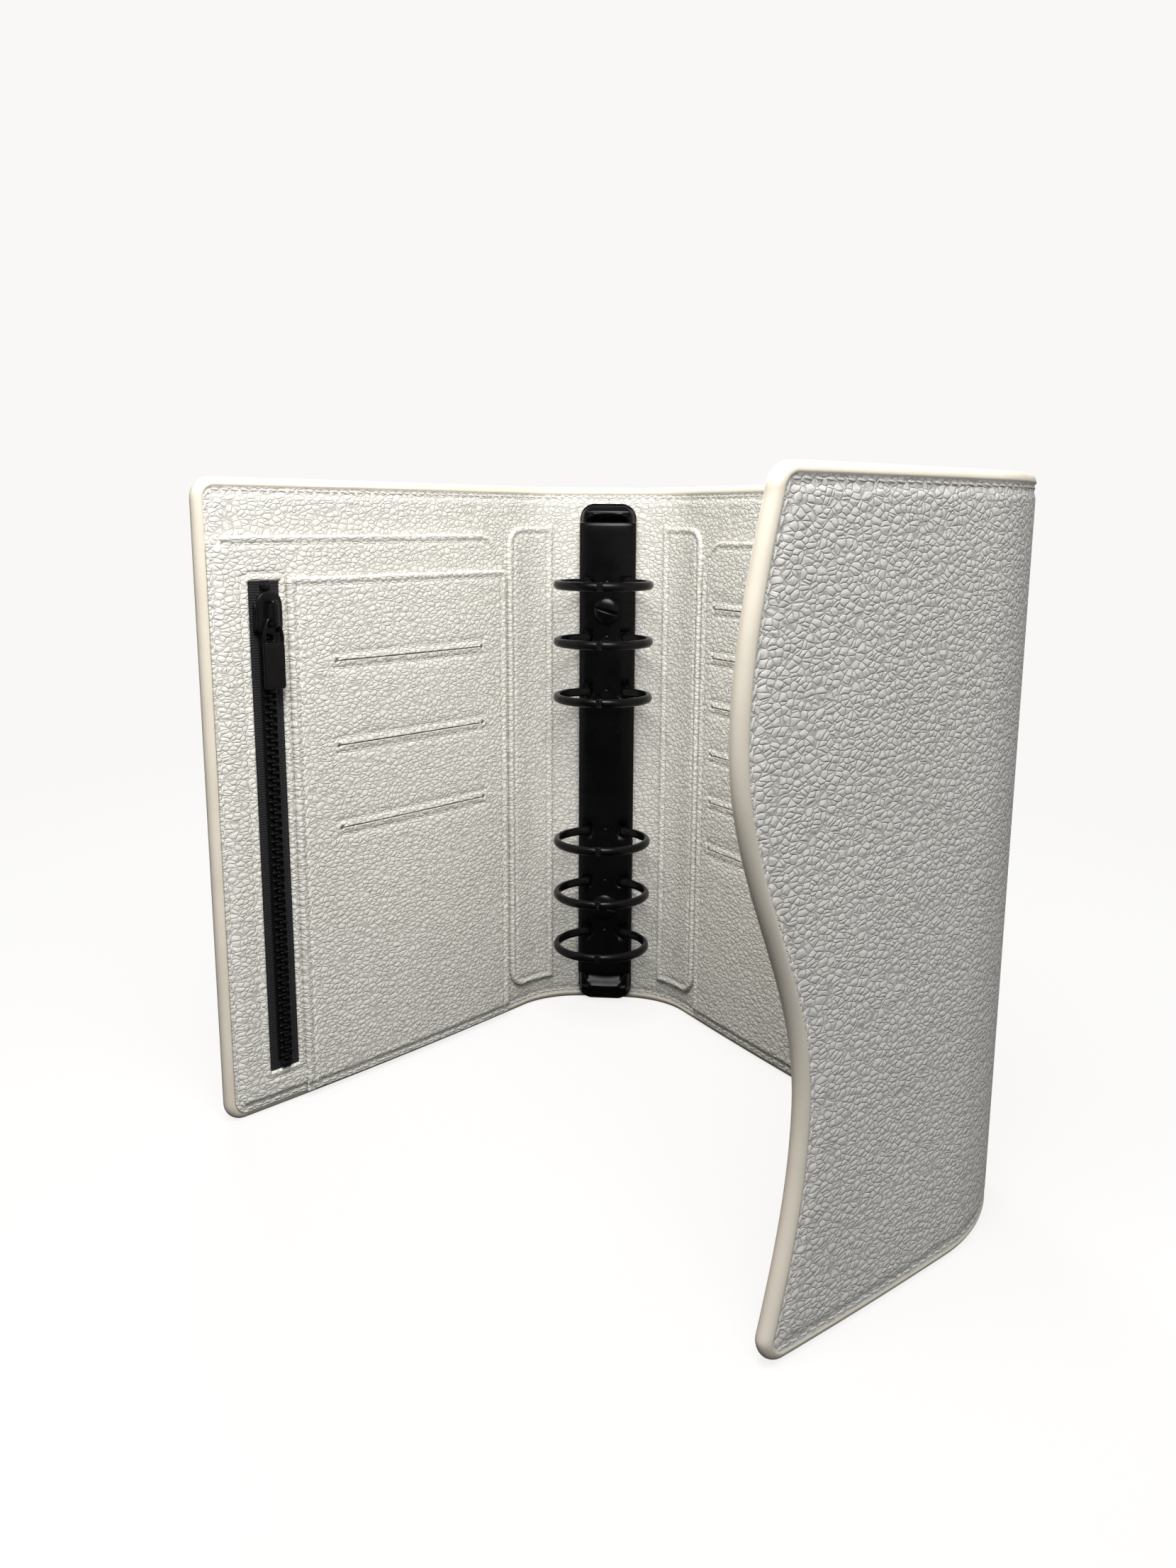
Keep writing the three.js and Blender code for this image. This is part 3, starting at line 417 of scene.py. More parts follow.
def tube(piece, points, half_a, half_b, side_on, sides):
    """Closed bar of oval section along points in metres; half_a lies along side_on, half_b across it."""
    points = np.asarray(points, float)
    tangents = np.gradient(points, axis=0)
    tangents /= np.linalg.norm(tangents, axis=1)[:, None]
    side_on = np.asarray(side_on, float)
    across = side_on - tangents * (tangents @ side_on)[:, None]
    across /= np.linalg.norm(across, axis=1)[:, None]
    third = np.cross(tangents, across)
    turns = 2 * np.pi * np.arange(sides) / sides
    half_a, half_b = (np.broadcast_to(h, (len(points),)) for h in (half_a, half_b))
    rings = [p + np.cos(turns)[:, None] * c * a * MM + np.sin(turns)[:, None] * t * b * MM
             for p, c, t, a, b in zip(points, across, third, half_a, half_b)]
    faces = []
    for i in range(0, (len(points) - 1) * sides, sides):
        for k in range(sides):
            after = (k + 1) % sides
            faces.append((i + k, i + after, i + sides + after, i + sides + k))
    last = (len(points) - 1) * sides
    faces += [tuple(range(sides))[::-1], tuple(last + k for k in range(sides))]
    steps = np.repeat(np.arange(len(points)), sides)
    places = np.stack([np.tile(turns, len(points)), steps], -1)
    piece.add(np.concatenate(rings), faces, places, NO_RIM)


# Materials
class Graph:
    """Short way to make and join the shader nodes of a material or a world."""

    def __init__(self, owner, output="ShaderNodeOutputMaterial"):
        owner.use_nodes = True
        self.tree = owner.node_tree
        self.tree.nodes.clear()
        self.output = self.node(output)

    def show(self, shader):
        self.put(self.output.inputs[0], shader)

    def node(self, kind, inputs=None, **settings):
        node = self.tree.nodes.new(kind)
        for key, value in settings.items():
            setattr(node, key, value)
        for key, value in (inputs or {}).items():
            self.put(node.inputs[key], value)
        return node

    def put(self, socket, value):
        if isinstance(value, bpy.types.NodeSocket):
            self.tree.links.new(value, socket)
        else:
            socket.default_value = value

    def math(self, operation, a, b=0.0):
        return self.node("ShaderNodeMath", {0: a, 1: b}, operation=operation).outputs[0]

    def vector(self, operation, a, b):
        return self.node("ShaderNodeVectorMath", {0: a, 1: b}, operation=operation).outputs[0]

    def range(self, value, low, high, to_low=0.0, to_high=1.0):
        inputs = {"Value": value, "From Min": low, "From Max": high, "To Min": to_low, "To Max": to_high}
        return self.node("ShaderNodeMapRange", inputs, interpolation_type="SMOOTHSTEP").outputs[0]

    def mix(self, factor, a, b):
        node = self.node("ShaderNodeMix", data_type="RGBA")
        for socket, value in zip((node.inputs[0], node.inputs[6], node.inputs[7]), (factor, a, b)):
            self.put(socket, value)
        return node.outputs[2]

    def for_the_eye(self, light, seen):
        """One shader for the light that is thrown back and another for what the camera sees."""
        direct = self.node("ShaderNodeLightPath").outputs["Is Camera Ray"]
        return self.node("ShaderNodeMixShader", {0: direct, 1: light, 2: seen}).outputs[0]

    def noise(self, place, scale, detail=2.0):
        return self.node("ShaderNodeTexNoise", {"Vector": place, "Scale": scale, "Detail": detail})

    def cells(self, place, scale, feature="DISTANCE_TO_EDGE"):
        node = self.node("ShaderNodeTexVoronoi", feature=feature)
        self.put(node.inputs["Vector"], place)
        self.put(node.inputs["Scale"], scale)
        return node.outputs["Distance"]

    def raise_surface(self, height, strength, distance):
        inputs = {"Strength": strength, "Distance": distance, "Height": height}
        return self.node("ShaderNodeBump", inputs).outputs[0]


class Surface(Graph):
    """Graph of a new material with one principled shader."""

    def __init__(self, name):
        self.material = bpy.data.materials.new(name)
        super().__init__(self.material)
        self.shader = self.node("ShaderNodeBsdfPrincipled")
        self.show(self.shader.outputs[0])

    def finish(self, **values):
        for name, value in values.items():
            self.put(self.shader.inputs[name.replace("_", " ")], value)
        return self.material


def shade(colour, factor):
    """The same colour, darker or lighter."""
    return (*(factor * c for c in colour[:3]), 1)


PAINT = (0.78, 0.71, 0.59, 1)
PEBBLE_SCALE = 480.0
GRAIN_DEPTH = 0.00027
THREAD = (0.76, 0.74, 0.68, 1)


def leather(name, colour, crease_shade):
    """Pebbled leather with painted shade in the creases between pebbles, and a smooth painted edge where the
    distance from the edge is small.
    """
    g = Surface(name)
    place = g.node("ShaderNodeTexCoord").outputs["UV"]
    turning = {"Vector": place, "Rotation": (0, 0, 0.6), "Scale": (1.0, 1.5, 1.0)}
    turned = g.node("ShaderNodeMapping", turning).outputs[0]
    wander = g.noise(turned, 260.0, 1.0).outputs["Color"]
    shift = g.vector("ADD", wander, (-0.5, -0.5, -0.5))
    spot = g.vector("ADD", turned, g.vector("MULTIPLY", shift, (0.0018, 0.0018, 0)))
    edge = g.cells(spot, PEBBLE_SCALE)
    dome = g.range(g.cells(spot, PEBBLE_SCALE, "F1"), 0.05, 0.75, 1.0, 0.0)
    top = g.range(edge, -0.03, 0.16)
    crease_shade_amount = g.range(edge, 0.01, 0.11, 1.0, 0.0)
    small = g.range(g.cells(spot, 2.3 * PEBBLE_SCALE), 0.0, 0.35)
    pores = g.noise(place, 2400.0, 3.0).outputs[0]
    relief = g.math("ADD", g.math("MULTIPLY", dome, 0.5), g.math("MULTIPLY", top, 0.42))
    relief = g.math("ADD", relief, g.math("MULTIPLY", small, 0.08))
    relief = g.math("ADD", relief, g.math("MULTIPLY", pores, 0.05))
    rim = g.node("ShaderNodeAttribute", attribute_name="rim").outputs["Fac"]
    on_leather = g.range(rim, PAINT_END - 0.12, PAINT_END + 0.12)
    patches = g.range(g.noise(place, 22.0, 3.0).outputs[0], 0.3, 0.7, 0.0, 1.0)
    body = g.mix(patches, shade(colour, 0.95), colour)
    # Painted shade: the creases between pebbles are mixed towards a dark colour where shade would fall
    body = g.mix(g.math("MULTIPLY", crease_shade_amount, 0.6), body, crease_shade)
    clouds = g.range(g.noise(place, 60.0, 4.0).outputs[0], 0.35, 0.65)
    brushed = g.mix(clouds, shade(PAINT, 0.94), PAINT)
    colour_out = g.mix(on_leather, brushed, body)
    grain = g.math("MULTIPLY", relief, g.range(rim, PAINT_END - 0.1, PAINT_END + 0.5, 0.03, 1.0))
    rough = g.range(dome, 0.0, 1.0, 0.75, 0.52)
    rough = g.math("MULTIPLY", rough, g.range(rim, PAINT_END - 0.1, PAINT_END + 0.1, 0.75, 1.0))
    return g.finish(Base_Color=colour_out, Roughness=rough, Normal=g.raise_surface(grain, 1.0, GRAIN_DEPTH))


def thread_material():
    g = Surface("thread")
    place = g.node("ShaderNodeTexCoord").outputs["UV"]
    ply = g.node("ShaderNodeTexWave", {"Vector": place, "Scale": 900.0, "Distortion": 1.0}).outputs["Fac"]
    colour = g.mix(ply, shade(THREAD, 0.85), THREAD)
    return g.finish(Base_Color=colour, Roughness=0.7, Normal=g.raise_surface(ply, 0.3, 0.0001))


def black_metal(name, colour, rough_low, rough_high, metallic=0.0, shine=0.2):
    g = Surface(name)
    place = g.node("ShaderNodeTexCoord").outputs["Object"]
    haze = g.noise(place, 90.0, 4.0).outputs[0]
    fine = g.noise(place, 2500.0, 2.0).outputs[0]
    rough = g.range(haze, 0.3, 0.7, rough_low, rough_high)
    tint = g.mix(haze, colour, shade(colour, 1.5))
    normal = g.raise_surface(fine, 0.06, 0.0001)
    g.finish(Metallic=metallic, Specular_IOR_Level=shine)
    return g.finish(Base_Color=tint, Roughness=rough, Normal=normal)


def tape_material():
    """Black woven tape: warp ribs upright, fine weft across."""
    g = Surface("zip_tape_weave")
    place = g.node("ShaderNodeTexCoord").outputs["UV"]
    warp = g.node("ShaderNodeTexWave", {"Vector": place, "Scale": 260.0}, bands_direction="X").outputs["Fac"]
    weft = g.node("ShaderNodeTexWave", {"Vector": place, "Scale": 420.0}, bands_direction="Y").outputs["Fac"]
    weave = g.math("MULTIPLY", warp, weft)
    fluff = g.noise(place, 1500.0, 3.0).outputs[0]
    colour = g.mix(g.math("MULTIPLY", weave, fluff), (0.006, 0.006, 0.007, 1), (0.03, 0.03, 0.033, 1))
    return g.finish(Base_Color=colour, Roughness=0.85, Normal=g.raise_surface(weave, 0.7, 0.0003))


# The second colour is painted shade for the creases between the pebbles
LEATHER = leather("leather_pebbled", (0.80, 0.775, 0.71, 1), (0.40, 0.38, 0.34, 1))
THREAD_FINISH = thread_material()
METAL = black_metal("black_enamel", (0.0015, 0.0015, 0.0017, 1), 0.22, 0.34)
GLOSS = black_metal("black_gloss", (0.003, 0.003, 0.0032, 1), 0.2, 0.3)
STEEL = black_metal("dark_steel", (0.10, 0.10, 0.11, 1), 0.3, 0.45, 1.0, 0.5)
TAPE = tape_material()


# Leather wall
FLAP_LOW, FLAP_WAIST, FLAP_BELLY, FLAP_TOP = 62.8, 52.2, 74.0, 65.0
WAIST_HEIGHT, BELLY_HEIGHT = 57.0, 137.0


def flap_reach(z):
    """Reach of the flap's free edge: it draws in to a waist and swells to a belly above."""
    low = FLAP_LOW - (FLAP_LOW - FLAP_WAIST) * np.sin(np.pi / 2 * np.clip(z / WAIST_HEIGHT, 0, 1))
    rise = np.clip((z - WAIST_HEIGHT) / (BELLY_HEIGHT - WAIST_HEIGHT), 0, 1)
    middle = FLAP_WAIST + (FLAP_BELLY - FLAP_WAIST) * (0.5 - 0.5 * np.cos(np.pi * rise))
    rise = np.clip((z - BELLY_HEIGHT) / (HEIGHT - BELLY_HEIGHT), 0, 1)
    top = FLAP_BELLY - (FLAP_BELLY - FLAP_TOP) * (1 - np.cos(np.pi / 2 * rise))
    return np.where(z < WAIST_HEIGHT, low, np.where(z < BELLY_HEIGHT, middle, top))


def front_end(z):
    return FRONT_END + 0 * z


def flap_end(z):
    return FLAP_START + flap_reach(np.clip(z, CORNER, HEIGHT - CORNER))


def no_end(z):
    return 1000.0 + 0 * z


def wall_rim(u, z, end):
    """Distance in from the wall's free edges."""
    return round_in(end(z) - u, np.minimum(z, HEIGHT - z), CORNER)


def wall_half(rim):
    """Half thickness of the wall: a round painted edge, then a pressed margin, then full leather."""
    inside = np.clip(EDGE_RADIUS - rim, 0, EDGE_RADIUS)
    edge = np.sqrt(np.maximum(EDGE_RADIUS ** 2 - inside ** 2, 0.03))
    margin = smooth((rim - EDGE_RADIUS) / 0.45) * (1 - smooth((rim - MARGIN_END) / MARGIN_RISE))
    return np.where(rim < EDGE_RADIUS, edge, WALL / 2 - MARGIN_DROP * margin)


def wall_part(piece, course, low, high, end=no_end, reach=25.0):
    """Stretch of the wall between two places, or to a free end."""
    free = end is not no_end
    near = SEAM_LINES
    bend_start = SPINE_RUNS[0][0]
    bend_end = bend_start + SPINE_RUNS[1][0]
    bends = np.arange(max(low, bend_start), min(high, bend_end), 1.4)
    wrap = np.arange(max(low, GUSSET_START - 8), min(high, FLAP_START + 9), 1.4)
    columns = lines(low, high, 4.0, near, EDGE_LINES if free else near, [*bends, *wrap])
    rows = lines(0.0, HEIGHT, 4.0)
    across, up = np.meshgrid(columns, rows)
    if free:
        drawn = end(up) - corner_cut(np.minimum(up, HEIGHT - up), CORNER)
        across = fit_columns(across, low, drawn, reach)
    rims = wall_rim(across, up, end)
    half = wall_half(rims)
    sheet(piece, course, across, up, half, -half, rims=rims)


def edge_path(low, end, inset):
    """Line at an even distance inside the free edges, from the bottom round to the top."""
    if end is no_end:
        return None
    radius = CORNER - inset
    path = [(low, inset)]
    for z0, first in ((CORNER, -90), (HEIGHT - CORNER, 0)):
        centre = float(end(np.array(z0))) - CORNER
        path += arc((centre, z0), radius, first, first + 90)
        if first < 0:
            path += [(float(end(np.array(z))) - inset, z) for z in np.linspace(12, HEIGHT - 12, 40)]
    return path + [(low, HEIGHT - inset)]


def wall_stitches(piece, course, low, high, end=no_end):
    """Stitches round the pressed margin, on the outer face and on the inner."""
    path = edge_path(low, end, EDGE_STITCH)
    paths = [path] if path else [[(low, EDGE_STITCH), (high, EDGE_STITCH)],
                                 [(low, HEIGHT - EDGE_STITCH), (high, HEIGHT - EDGE_STITCH)]]
    depth = WALL / 2 - MARGIN_DROP
    for route in paths:
        stitches(piece, course, split_long(route), lambda u, z: -depth)
        stitches(piece, course, split_long(route), lambda u, z: depth)


def split_long(route, step=3.0):
    """The same line with more corners, so that stitches follow the bends."""
    fine = [route[0]]
    for a, b in zip(route, route[1:]):
        count = max(1, int(math.dist(a, b) / step))
        for k in range(1, count + 1):
            fine.append((a[0] + (b[0] - a[0]) * k / count, a[1] + (b[1] - a[1]) * k / count))
    return fine


def on_course(course, u):
    return tuple(float(x) for x in course.place(np.array(u), np.array(0.0), np.array(0.0)))


def wall_piece(name, course, low, high, bend, nodes, end=no_end, reach=25.0):
    piece = Piece(name, LEATHER, THREAD_FINISH)
    wall_part(piece, course, low, high, end, reach)
    wall_stitches(piece, course, low, high, end)
    made = piece.build()
    on_course(course, bend[0])
    on_course(course, bend[1])
    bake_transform(made)
    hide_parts(*nodes)


LAYERS = ("skin", "board", "lining", "edge", "edge_bottom", "edge_top")


def nodes_of(*sections):
    """Nodes of the CAD wall in these sections."""
    wanted = [f"{section}_{layer}" for section in sections for layer in LAYERS]
    return [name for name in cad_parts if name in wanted]


FLAP_MAX = FLAP_START + FLAP_BELLY
wall_piece("front_cover_leather", left, 0.0, FRONT_END, SPINE_BLEND,
           nodes_of("spine", "front_cover"), front_end)
wall_piece("back_cover_leather", right, 0.0, BACK_SEAM, SPINE_BLEND,
           nodes_of("back_cover"))
wall_piece("gusset_leather", right, BACK_SEAM, GUSSET_SEAM, GUSSET_BLEND,
           nodes_of("gusset"))
wall_piece("flap_leather", right, GUSSET_SEAM, FLAP_MAX, FLAP_BLEND,
           nodes_of("flap"), flap_end, FLAP_BELLY)


# Panels and strips
def hole_places(start, length):
    """Places of the round holes at a slit's two ends."""
    return start + SLIT_HOLE, start + length - SLIT_HOLE


class Panel:
    """Leather panel on the wall: a rectangle with folded and sewn edges, windows and slits."""

    def __init__(self, course, box, face, thickness, folded, sewn,
                 radii=None, window=None, slits=(), turned=0.0):
        self.course = course
        self.u0, self.u1, self.z0, self.z1 = box
        self.face = face
        self.thickness = thickness
        self.folded = folded
        self.sewn = sewn
        self.radii = radii or {}
        self.window = window
        self.slits = slits
        self.turned = turned

    def distances(self, u, z):
        return {"near": u - self.u0, "far": self.u1 - u, "low": z - self.z0, "high": self.z1 - z}

    def inside(self, u, z, sides):
        """Distance in from the nearest of these sides, round corners included."""
        d = self.distances(u, z)
        found = np.full(np.shape(u), 1e3)
        for side in sides:
            found = np.minimum(found, d[side])
        for (a, b), radius in self.radii.items():
            if a in sides or b in sides:
                corner = (d[a] < radius) & (d[b] < radius)
                found = np.where(corner, radius - np.hypot(radius - d[a], radius - d[b]), found)
        return found

    def outside_window(self, u, z):
        if not self.window:
            return np.full(np.shape(u), 1e3)
        a0, a1, b0, b1 = self.window
        return np.hypot(np.maximum(np.maximum(a0 - u, u - a1), 0), np.maximum(np.maximum(b0 - z, z - b1), 0))

    def level(self, u, z):
        """Height w of the panel's front."""
        u, z = np.broadcast_arrays(np.asarray(u, float), np.asarray(z, float))
        folded = np.minimum(self.inside(u, z, self.folded), self.outside_window(u, z))
        sewn = self.inside(u, z, self.sewn)
        rounding = 0.35 + 0.65 * np.sqrt(np.clip(1 - (1 - np.clip(folded / FOLD_RADIUS, 0, 1)) ** 2, 0, 1))
        pressed = SEWN_LEVEL + (1 - SEWN_LEVEL) * smooth((sewn - 1.9) / 1.5)
        w = self.face + self.thickness * np.minimum(rounding, pressed)
        detail = FOLD_RIDGE * bump(folded - 0.9, 0.5) - 0.32 * bump(folded - FOLD_STITCH, 0.5)
        w = w + detail * (pressed > 0.95)
        if self.turned:
            far = self.u1 - u
            past = far - self.turned
            w = w + 0.25 * (1 - smooth(past / 0.4)) * smooth(far / 0.6) - 0.2 * bump(past - 0.5, 0.4)
        for start, length, height in self.slits:
            past = np.maximum(np.maximum(start - u, u - start - length), 0)
            off = np.hypot(past, z - height)
            w = w + 0.24 * bump(off, 1.2) - 0.28 * bump(np.abs(z - height) - SLIT_STITCH, 0.45) * (past < 0.5)
        return w

    def grid(self):
        columns, rows = [], []
        for start, length, height in self.slits:
            for offset in (0, SLIT_HALF, 0.4, SLIT_HOLE, 1.1, 1.5, 1.9, 2.3, 2.7, 3.2):
                rows += [height - offset, height + offset]
            for middle in hole_places(start, length):
                for offset in (0, 0.4, SLIT_HOLE, 1.2, 2.0):
                    columns += [middle - offset, middle + offset]
        if self.window:
            a0, a1, b0, b1 = self.window
            for offset in EDGE_LINES[:16]:
                columns += [a0 - offset, a1 + offset]
                rows += [b0 - offset, b1 + offset]
        columns = lines(self.u0, self.u1, 5.0, exact=columns)
        rows = lines(self.z0, self.z1, 5.0, exact=rows)
        across, up = np.meshgrid(columns, rows)
        keep = self.kept(across, up)
        near, far = 0 * up, 0 * up
        d = self.distances(across, up)
        for (a, b), radius in self.radii.items():
            cut = corner_cut(d[b], radius)
            near, far = (near + cut, far) if a == "near" else (near, far + cut)
        reach = 3.0 + 2.5 * max([2.0, *self.radii.values()])
        return fit_columns(across, self.u0 + near, self.u1 - far, reach, 3.0), up, keep

    def kept(self, across, up):
        u = (across[:-1, :-1] + across[1:, 1:]) / 2
        z = (up[:-1, :-1] + up[1:, 1:]) / 2
        keep = self.outside_window(u, z) > 0
        for start, length, height in self.slits:
            first, last = hole_places(start, length)
            keep &= ~((u > first) & (u < last) & (np.abs(z - height) < SLIT_HALF))
            for middle in (first, last):
                keep &= ~((np.abs(u - middle) < SLIT_HOLE) & (np.abs(z - height) < SLIT_HOLE))
                box = np.maximum(np.abs(across - middle), np.abs(up - height))
                on = np.abs(box - SLIT_HOLE) < 0.01
                scale = SLIT_HOLE / np.maximum(np.hypot(across - middle, up - height), 1e-6)
                across[on] = (middle + (across - middle) * scale)[on]
                up[on] = (height + (up - height) * scale)[on]
        return keep

    def build(self, piece):
        across, up, keep = self.grid()
        sheet(piece, self.course, across, up, self.level(across, up), self.face, keep=keep)

    def row(self, piece, *corners):
        stitches(piece, self.course, split_long(list(corners)), self.level)

    def corner_row(self, piece, start, down):
        """Row from a place on the high edge, round the near corner and down to a height."""
        inset = FOLD_STITCH
        centre = (self.u0 + PANEL_CORNER, self.z1 - PANEL_CORNER)
        corner = arc(centre, PANEL_CORNER - inset, 90, 180)
        self.row(piece, (start, self.z1 - inset), *corner, (self.u0 + inset, down))

    def slit_rows(self, piece):
        for start, length, height in self.slits:
            for side in (-1, 1):
                z = height + side * SLIT_STITCH
                self.row(piece, (start + 1, z), (start + length - 1, z))


def slits_of(start, length, top, pitch, count):
    return [(start, length, top - pitch * i) for i in range(count)]


def zip_pocket():
    window = (ZIP_MIDDLE - ZIP_HALF, ZIP_MIDDLE + ZIP_HALF, ZIP_LOW, ZIP_HIGH)
    radii = {("near", "high"): PANEL_CORNER, ("far", "high"): 4.0, ("far", "low"): 4.0}
    panel = Panel(left, POCKET_BOX, PANEL_FACE, BASE_THICKNESS, ("high", "near"), ("far", "low"),
                  radii=radii, window=window)
    piece = Piece("zip_pocket_leather", LEATHER, THREAD_FINISH)
    panel.build(piece)
    panel.corner_row(piece, 156, 150)
    near, far = window[0] - FOLD_STITCH, window[1] + FOLD_STITCH
    low, high = window[2] - FOLD_STITCH, window[3] + FOLD_STITCH
    panel.row(piece, (far, low), (far, high), (near, high))
    panel.row(piece, (near, low), (far, low))
    side, bottom = POCKET_BOX[1] - 1.0, SEWN_STITCH
    panel.row(piece, (48, bottom), (side - 3, bottom), (side, bottom + 3), (side, 172))
    ride(piece, "front_cover", "zip_pocket_panel")


def front_card():
    near, far, _, high = CARD_BOX
    folded = ("high", "near", "far")
    panel = Panel(left, CARD_BOX, PANEL_FACE + BASE_THICKNESS, PANEL_THICKNESS, folded, ("low",),
                  slits=slits_of(*CARD_SLITS), turned=2.6)
    piece = Piece("front_card_leather", LEATHER, THREAD_FINISH)
    panel.build(piece)
    side, top = near + FOLD_STITCH, high - FOLD_STITCH
    panel.row(piece, (far - 3.6, top), (side, top), (side, 4))
    panel.row(piece, (far - SEWN_STITCH, 4), (far - SEWN_STITCH, top))
    panel.row(piece, (48, SEWN_STITCH), (134, SEWN_STITCH))
    panel.slit_rows(piece)
    ride(piece, "front_cover", "front_card_panel")


def back_card():
    panel = Panel(right, BACK_BOX, PANEL_FACE, BASE_THICKNESS, ("high", "near"), ("low", "far"),
                  radii={("near", "high"): PANEL_CORNER}, slits=slits_of(*BACK_SLITS))
    piece = Piece("back_card_leather", LEATHER, THREAD_FINISH)
    panel.build(piece)
    panel.corner_row(piece, 158, 4)
    panel.row(piece, (47, SEWN_STITCH), (158, SEWN_STITCH))
    panel.slit_rows(piece)
    ride(piece, "back_cover", "back_card_panel")


def strip(name, course, node):
    sides = ("near", "far", "low", "high")
    radii = {("far", "high"): STRIP_CORNER, ("far", "low"): STRIP_CORNER}
    panel = Panel(course, STRIP_BOX, PANEL_FACE, STRIP_THICKNESS, sides, (), radii=radii)
    piece = Piece(name, LEATHER)
    panel.build(piece)
    made = piece.build()
    start, end = (on_course(course, u) for u in SPINE_BLEND)
    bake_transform(made)
    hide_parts(node)


zip_pocket()
front_card()
back_card()
strip("left_strip_leather", left, "left_strip")
strip("right_strip_leather", right, "right_strip")


# Zipper
def zipper_tapes():
    for name, side in (("near", -1), ("far", 1)):
        piece = Piece(f"zip_tape_{name}_cloth", TAPE)
        low, high = sorted((side * 0.15, side * (ZIP_HALF - 0.1)))
        columns = lines(low, high, 0.35, (0, .1), (0, .1))
        rows = lines(ZIP_LOW + 0.1, ZIP_HIGH - 0.1, 8, (0, .2), (0, .2))
        across, up = np.meshgrid(columns, rows)
        off = np.abs(across)
        out = TAPE_FACE + 0.6 + 0.12 * bump(off - 3.6, 0.25) + 0.1 * bump(off - 2.6, 0.2)
        sheet(piece, zip_frame, across, up, out, TAPE_FACE)
        ride(piece, "front_cover", f"zipper_tape_{name}", slot="zip_tape")


def zipper_teeth():
    for name, side in (("near", -1), ("far", 1)):
        piece = Piece(f"zip_teeth_{name}_row", GLOSS)
        first = ZIP_LOW + 3.2 + (TOOTH_PITCH / 2 if side > 0 else 0)
        count = int((SLIDER_TOP - 1.5 - first) / TOOTH_PITCH)
        spots = [(side * TOOTH_PLACE, first + TOOTH_PITCH * i, TEETH_FACE + 0.55) for i in range(count)]
        balls(piece, zip_frame, spots, [(1, 0)] * count, TOOTH_SIZE, power=0.6, rings=8, sides=10)
        cord = np.linspace(first - 1, SLIDER_TOP - 1, 60)
        places = zip_frame.place(side * CORD_PLACE, cord, TEETH_FACE + 0.25)
        tube(piece, places, 0.45, 0.4, zip_frame.along, sides=8)
        ride(piece, "front_cover", f"zipper_teeth_{name}", slot="black_metal")


def zipper_stops():
    for name, z in (("bottom", ZIP_LOW + 1.3), ("top", SLIDER_TOP + 1.3)):
        piece = Piece(f"zip_stop_{name}_bar", GLOSS)
        spot = (0, z, TEETH_FACE + 0.6)
        balls(piece, zip_frame, [spot], [(1, 0)], STOP_SIZE, power=0.45, rings=12, sides=16)
        ride(piece, "front_cover", f"zipper_stop_{name}", slot="black_metal")


def disc_grid(half_widths, heights, columns=24):
    """Grid whose rows have these half widths at these heights."""
    share = np.sin(np.linspace(-np.pi / 2, np.pi / 2, columns))
    across = np.outer(half_widths, share)
    return across, np.repeat(np.asarray(heights, float)[:, None], columns, 1)


def rounded_rows(low, high, half, r_low, r_high, count=28):
    """Half widths and heights of a plate with round corners at its ends."""
    heights = low + (high - low) * (0.5 - 0.5 * np.cos(np.linspace(0, np.pi, count)))
    cut = corner_cut(heights - low, r_low) + corner_cut(high - heights, r_high)
    return np.maximum(half - cut, 0.02), heights


def plate(piece, frame_on, low, high, half, r_low, r_high, face, out, edge, dome=0.0):
    """Plate with round corners and rounded rims between two heights w."""
    widths, heights = rounded_rows(low, high, half, r_low, r_high)
    across, up = disc_grid(widths, heights)
    side = widths[:, None] - np.abs(across)
    rim = np.minimum(side, np.minimum(up - low, high - up))
    fall = edge - np.sqrt(np.maximum(edge ** 2 - (edge - np.clip(rim, 0, edge)) ** 2, 0))
    crown = dome * (1 - (across / half) ** 2)
    middle = (face + out) / 2
    front = np.maximum(out - fall + crown, middle + 0.02)
    back = np.minimum(face + fall, middle - 0.02)
    sheet(piece, frame_on, across, up, front, back)


def zipper_slider():
    piece = Piece("zip_slider_body", GLOSS)
    low = SLIDER_TOP - SLIDER_LENGTH
    plate(piece, zip_frame, low, SLIDER_TOP, SLIDER_HALF, *SLIDER_CORNERS, SLIDER_FACE, SLIDER_OUT,
          0.45, dome=0.25)
    rail = SLIDER_TOP - 11.3 + 1.1 * np.arange(8)
    for side in (-1, 1):
        places = zip_frame.place(side * SLIDER_RAIL, rail, TEETH_FACE + 0.75)
        tube(piece, places, 0.4, 0.75, zip_frame.along, sides=10)
    foot, knee, front = SLIDER_FACE + 0.4, BRIDGE_OUT - 1.6, BRIDGE_OUT - 0.55
    bridge = [(BRIDGE_HIGH, foot), (BRIDGE_HIGH, knee), (BRIDGE_HIGH - 1.1, front),
              (BRIDGE_LOW + 1.1, front), (BRIDGE_LOW + 0.5, knee), (BRIDGE_LOW + 0.5, foot)]
    z, w = curve(bridge)
    z = np.minimum(z, BRIDGE_HIGH - 0.9)
    tube(piece, zip_frame.place(0, z, w), 1.1, 0.5, zip_frame.along, sides=16)
    ride(piece, "slider", "zipper_slider", slot="black_metal")


def curve(points, per=8):
    """Smooth line through points, as arrays of each coordinate."""
    p = np.array(points, float)
    p = np.concatenate([[2 * p[0] - p[1]], p, [2 * p[-1] - p[-2]]])
    out = []
    for i in range(1, len(p) - 2):
        for k in range(per):
            t = k / per
            out.append(0.5 * (2 * p[i] + (p[i + 1] - p[i - 1]) * t
                              + (2 * p[i - 1] - 5 * p[i] + 4 * p[i + 1] - p[i + 2]) * t ** 2
                              + (3 * p[i] - p[i - 1] - 3 * p[i + 1] + p[i + 2]) * t ** 3))
    out.append(p[-2])
    return tuple(np.array(out).T)


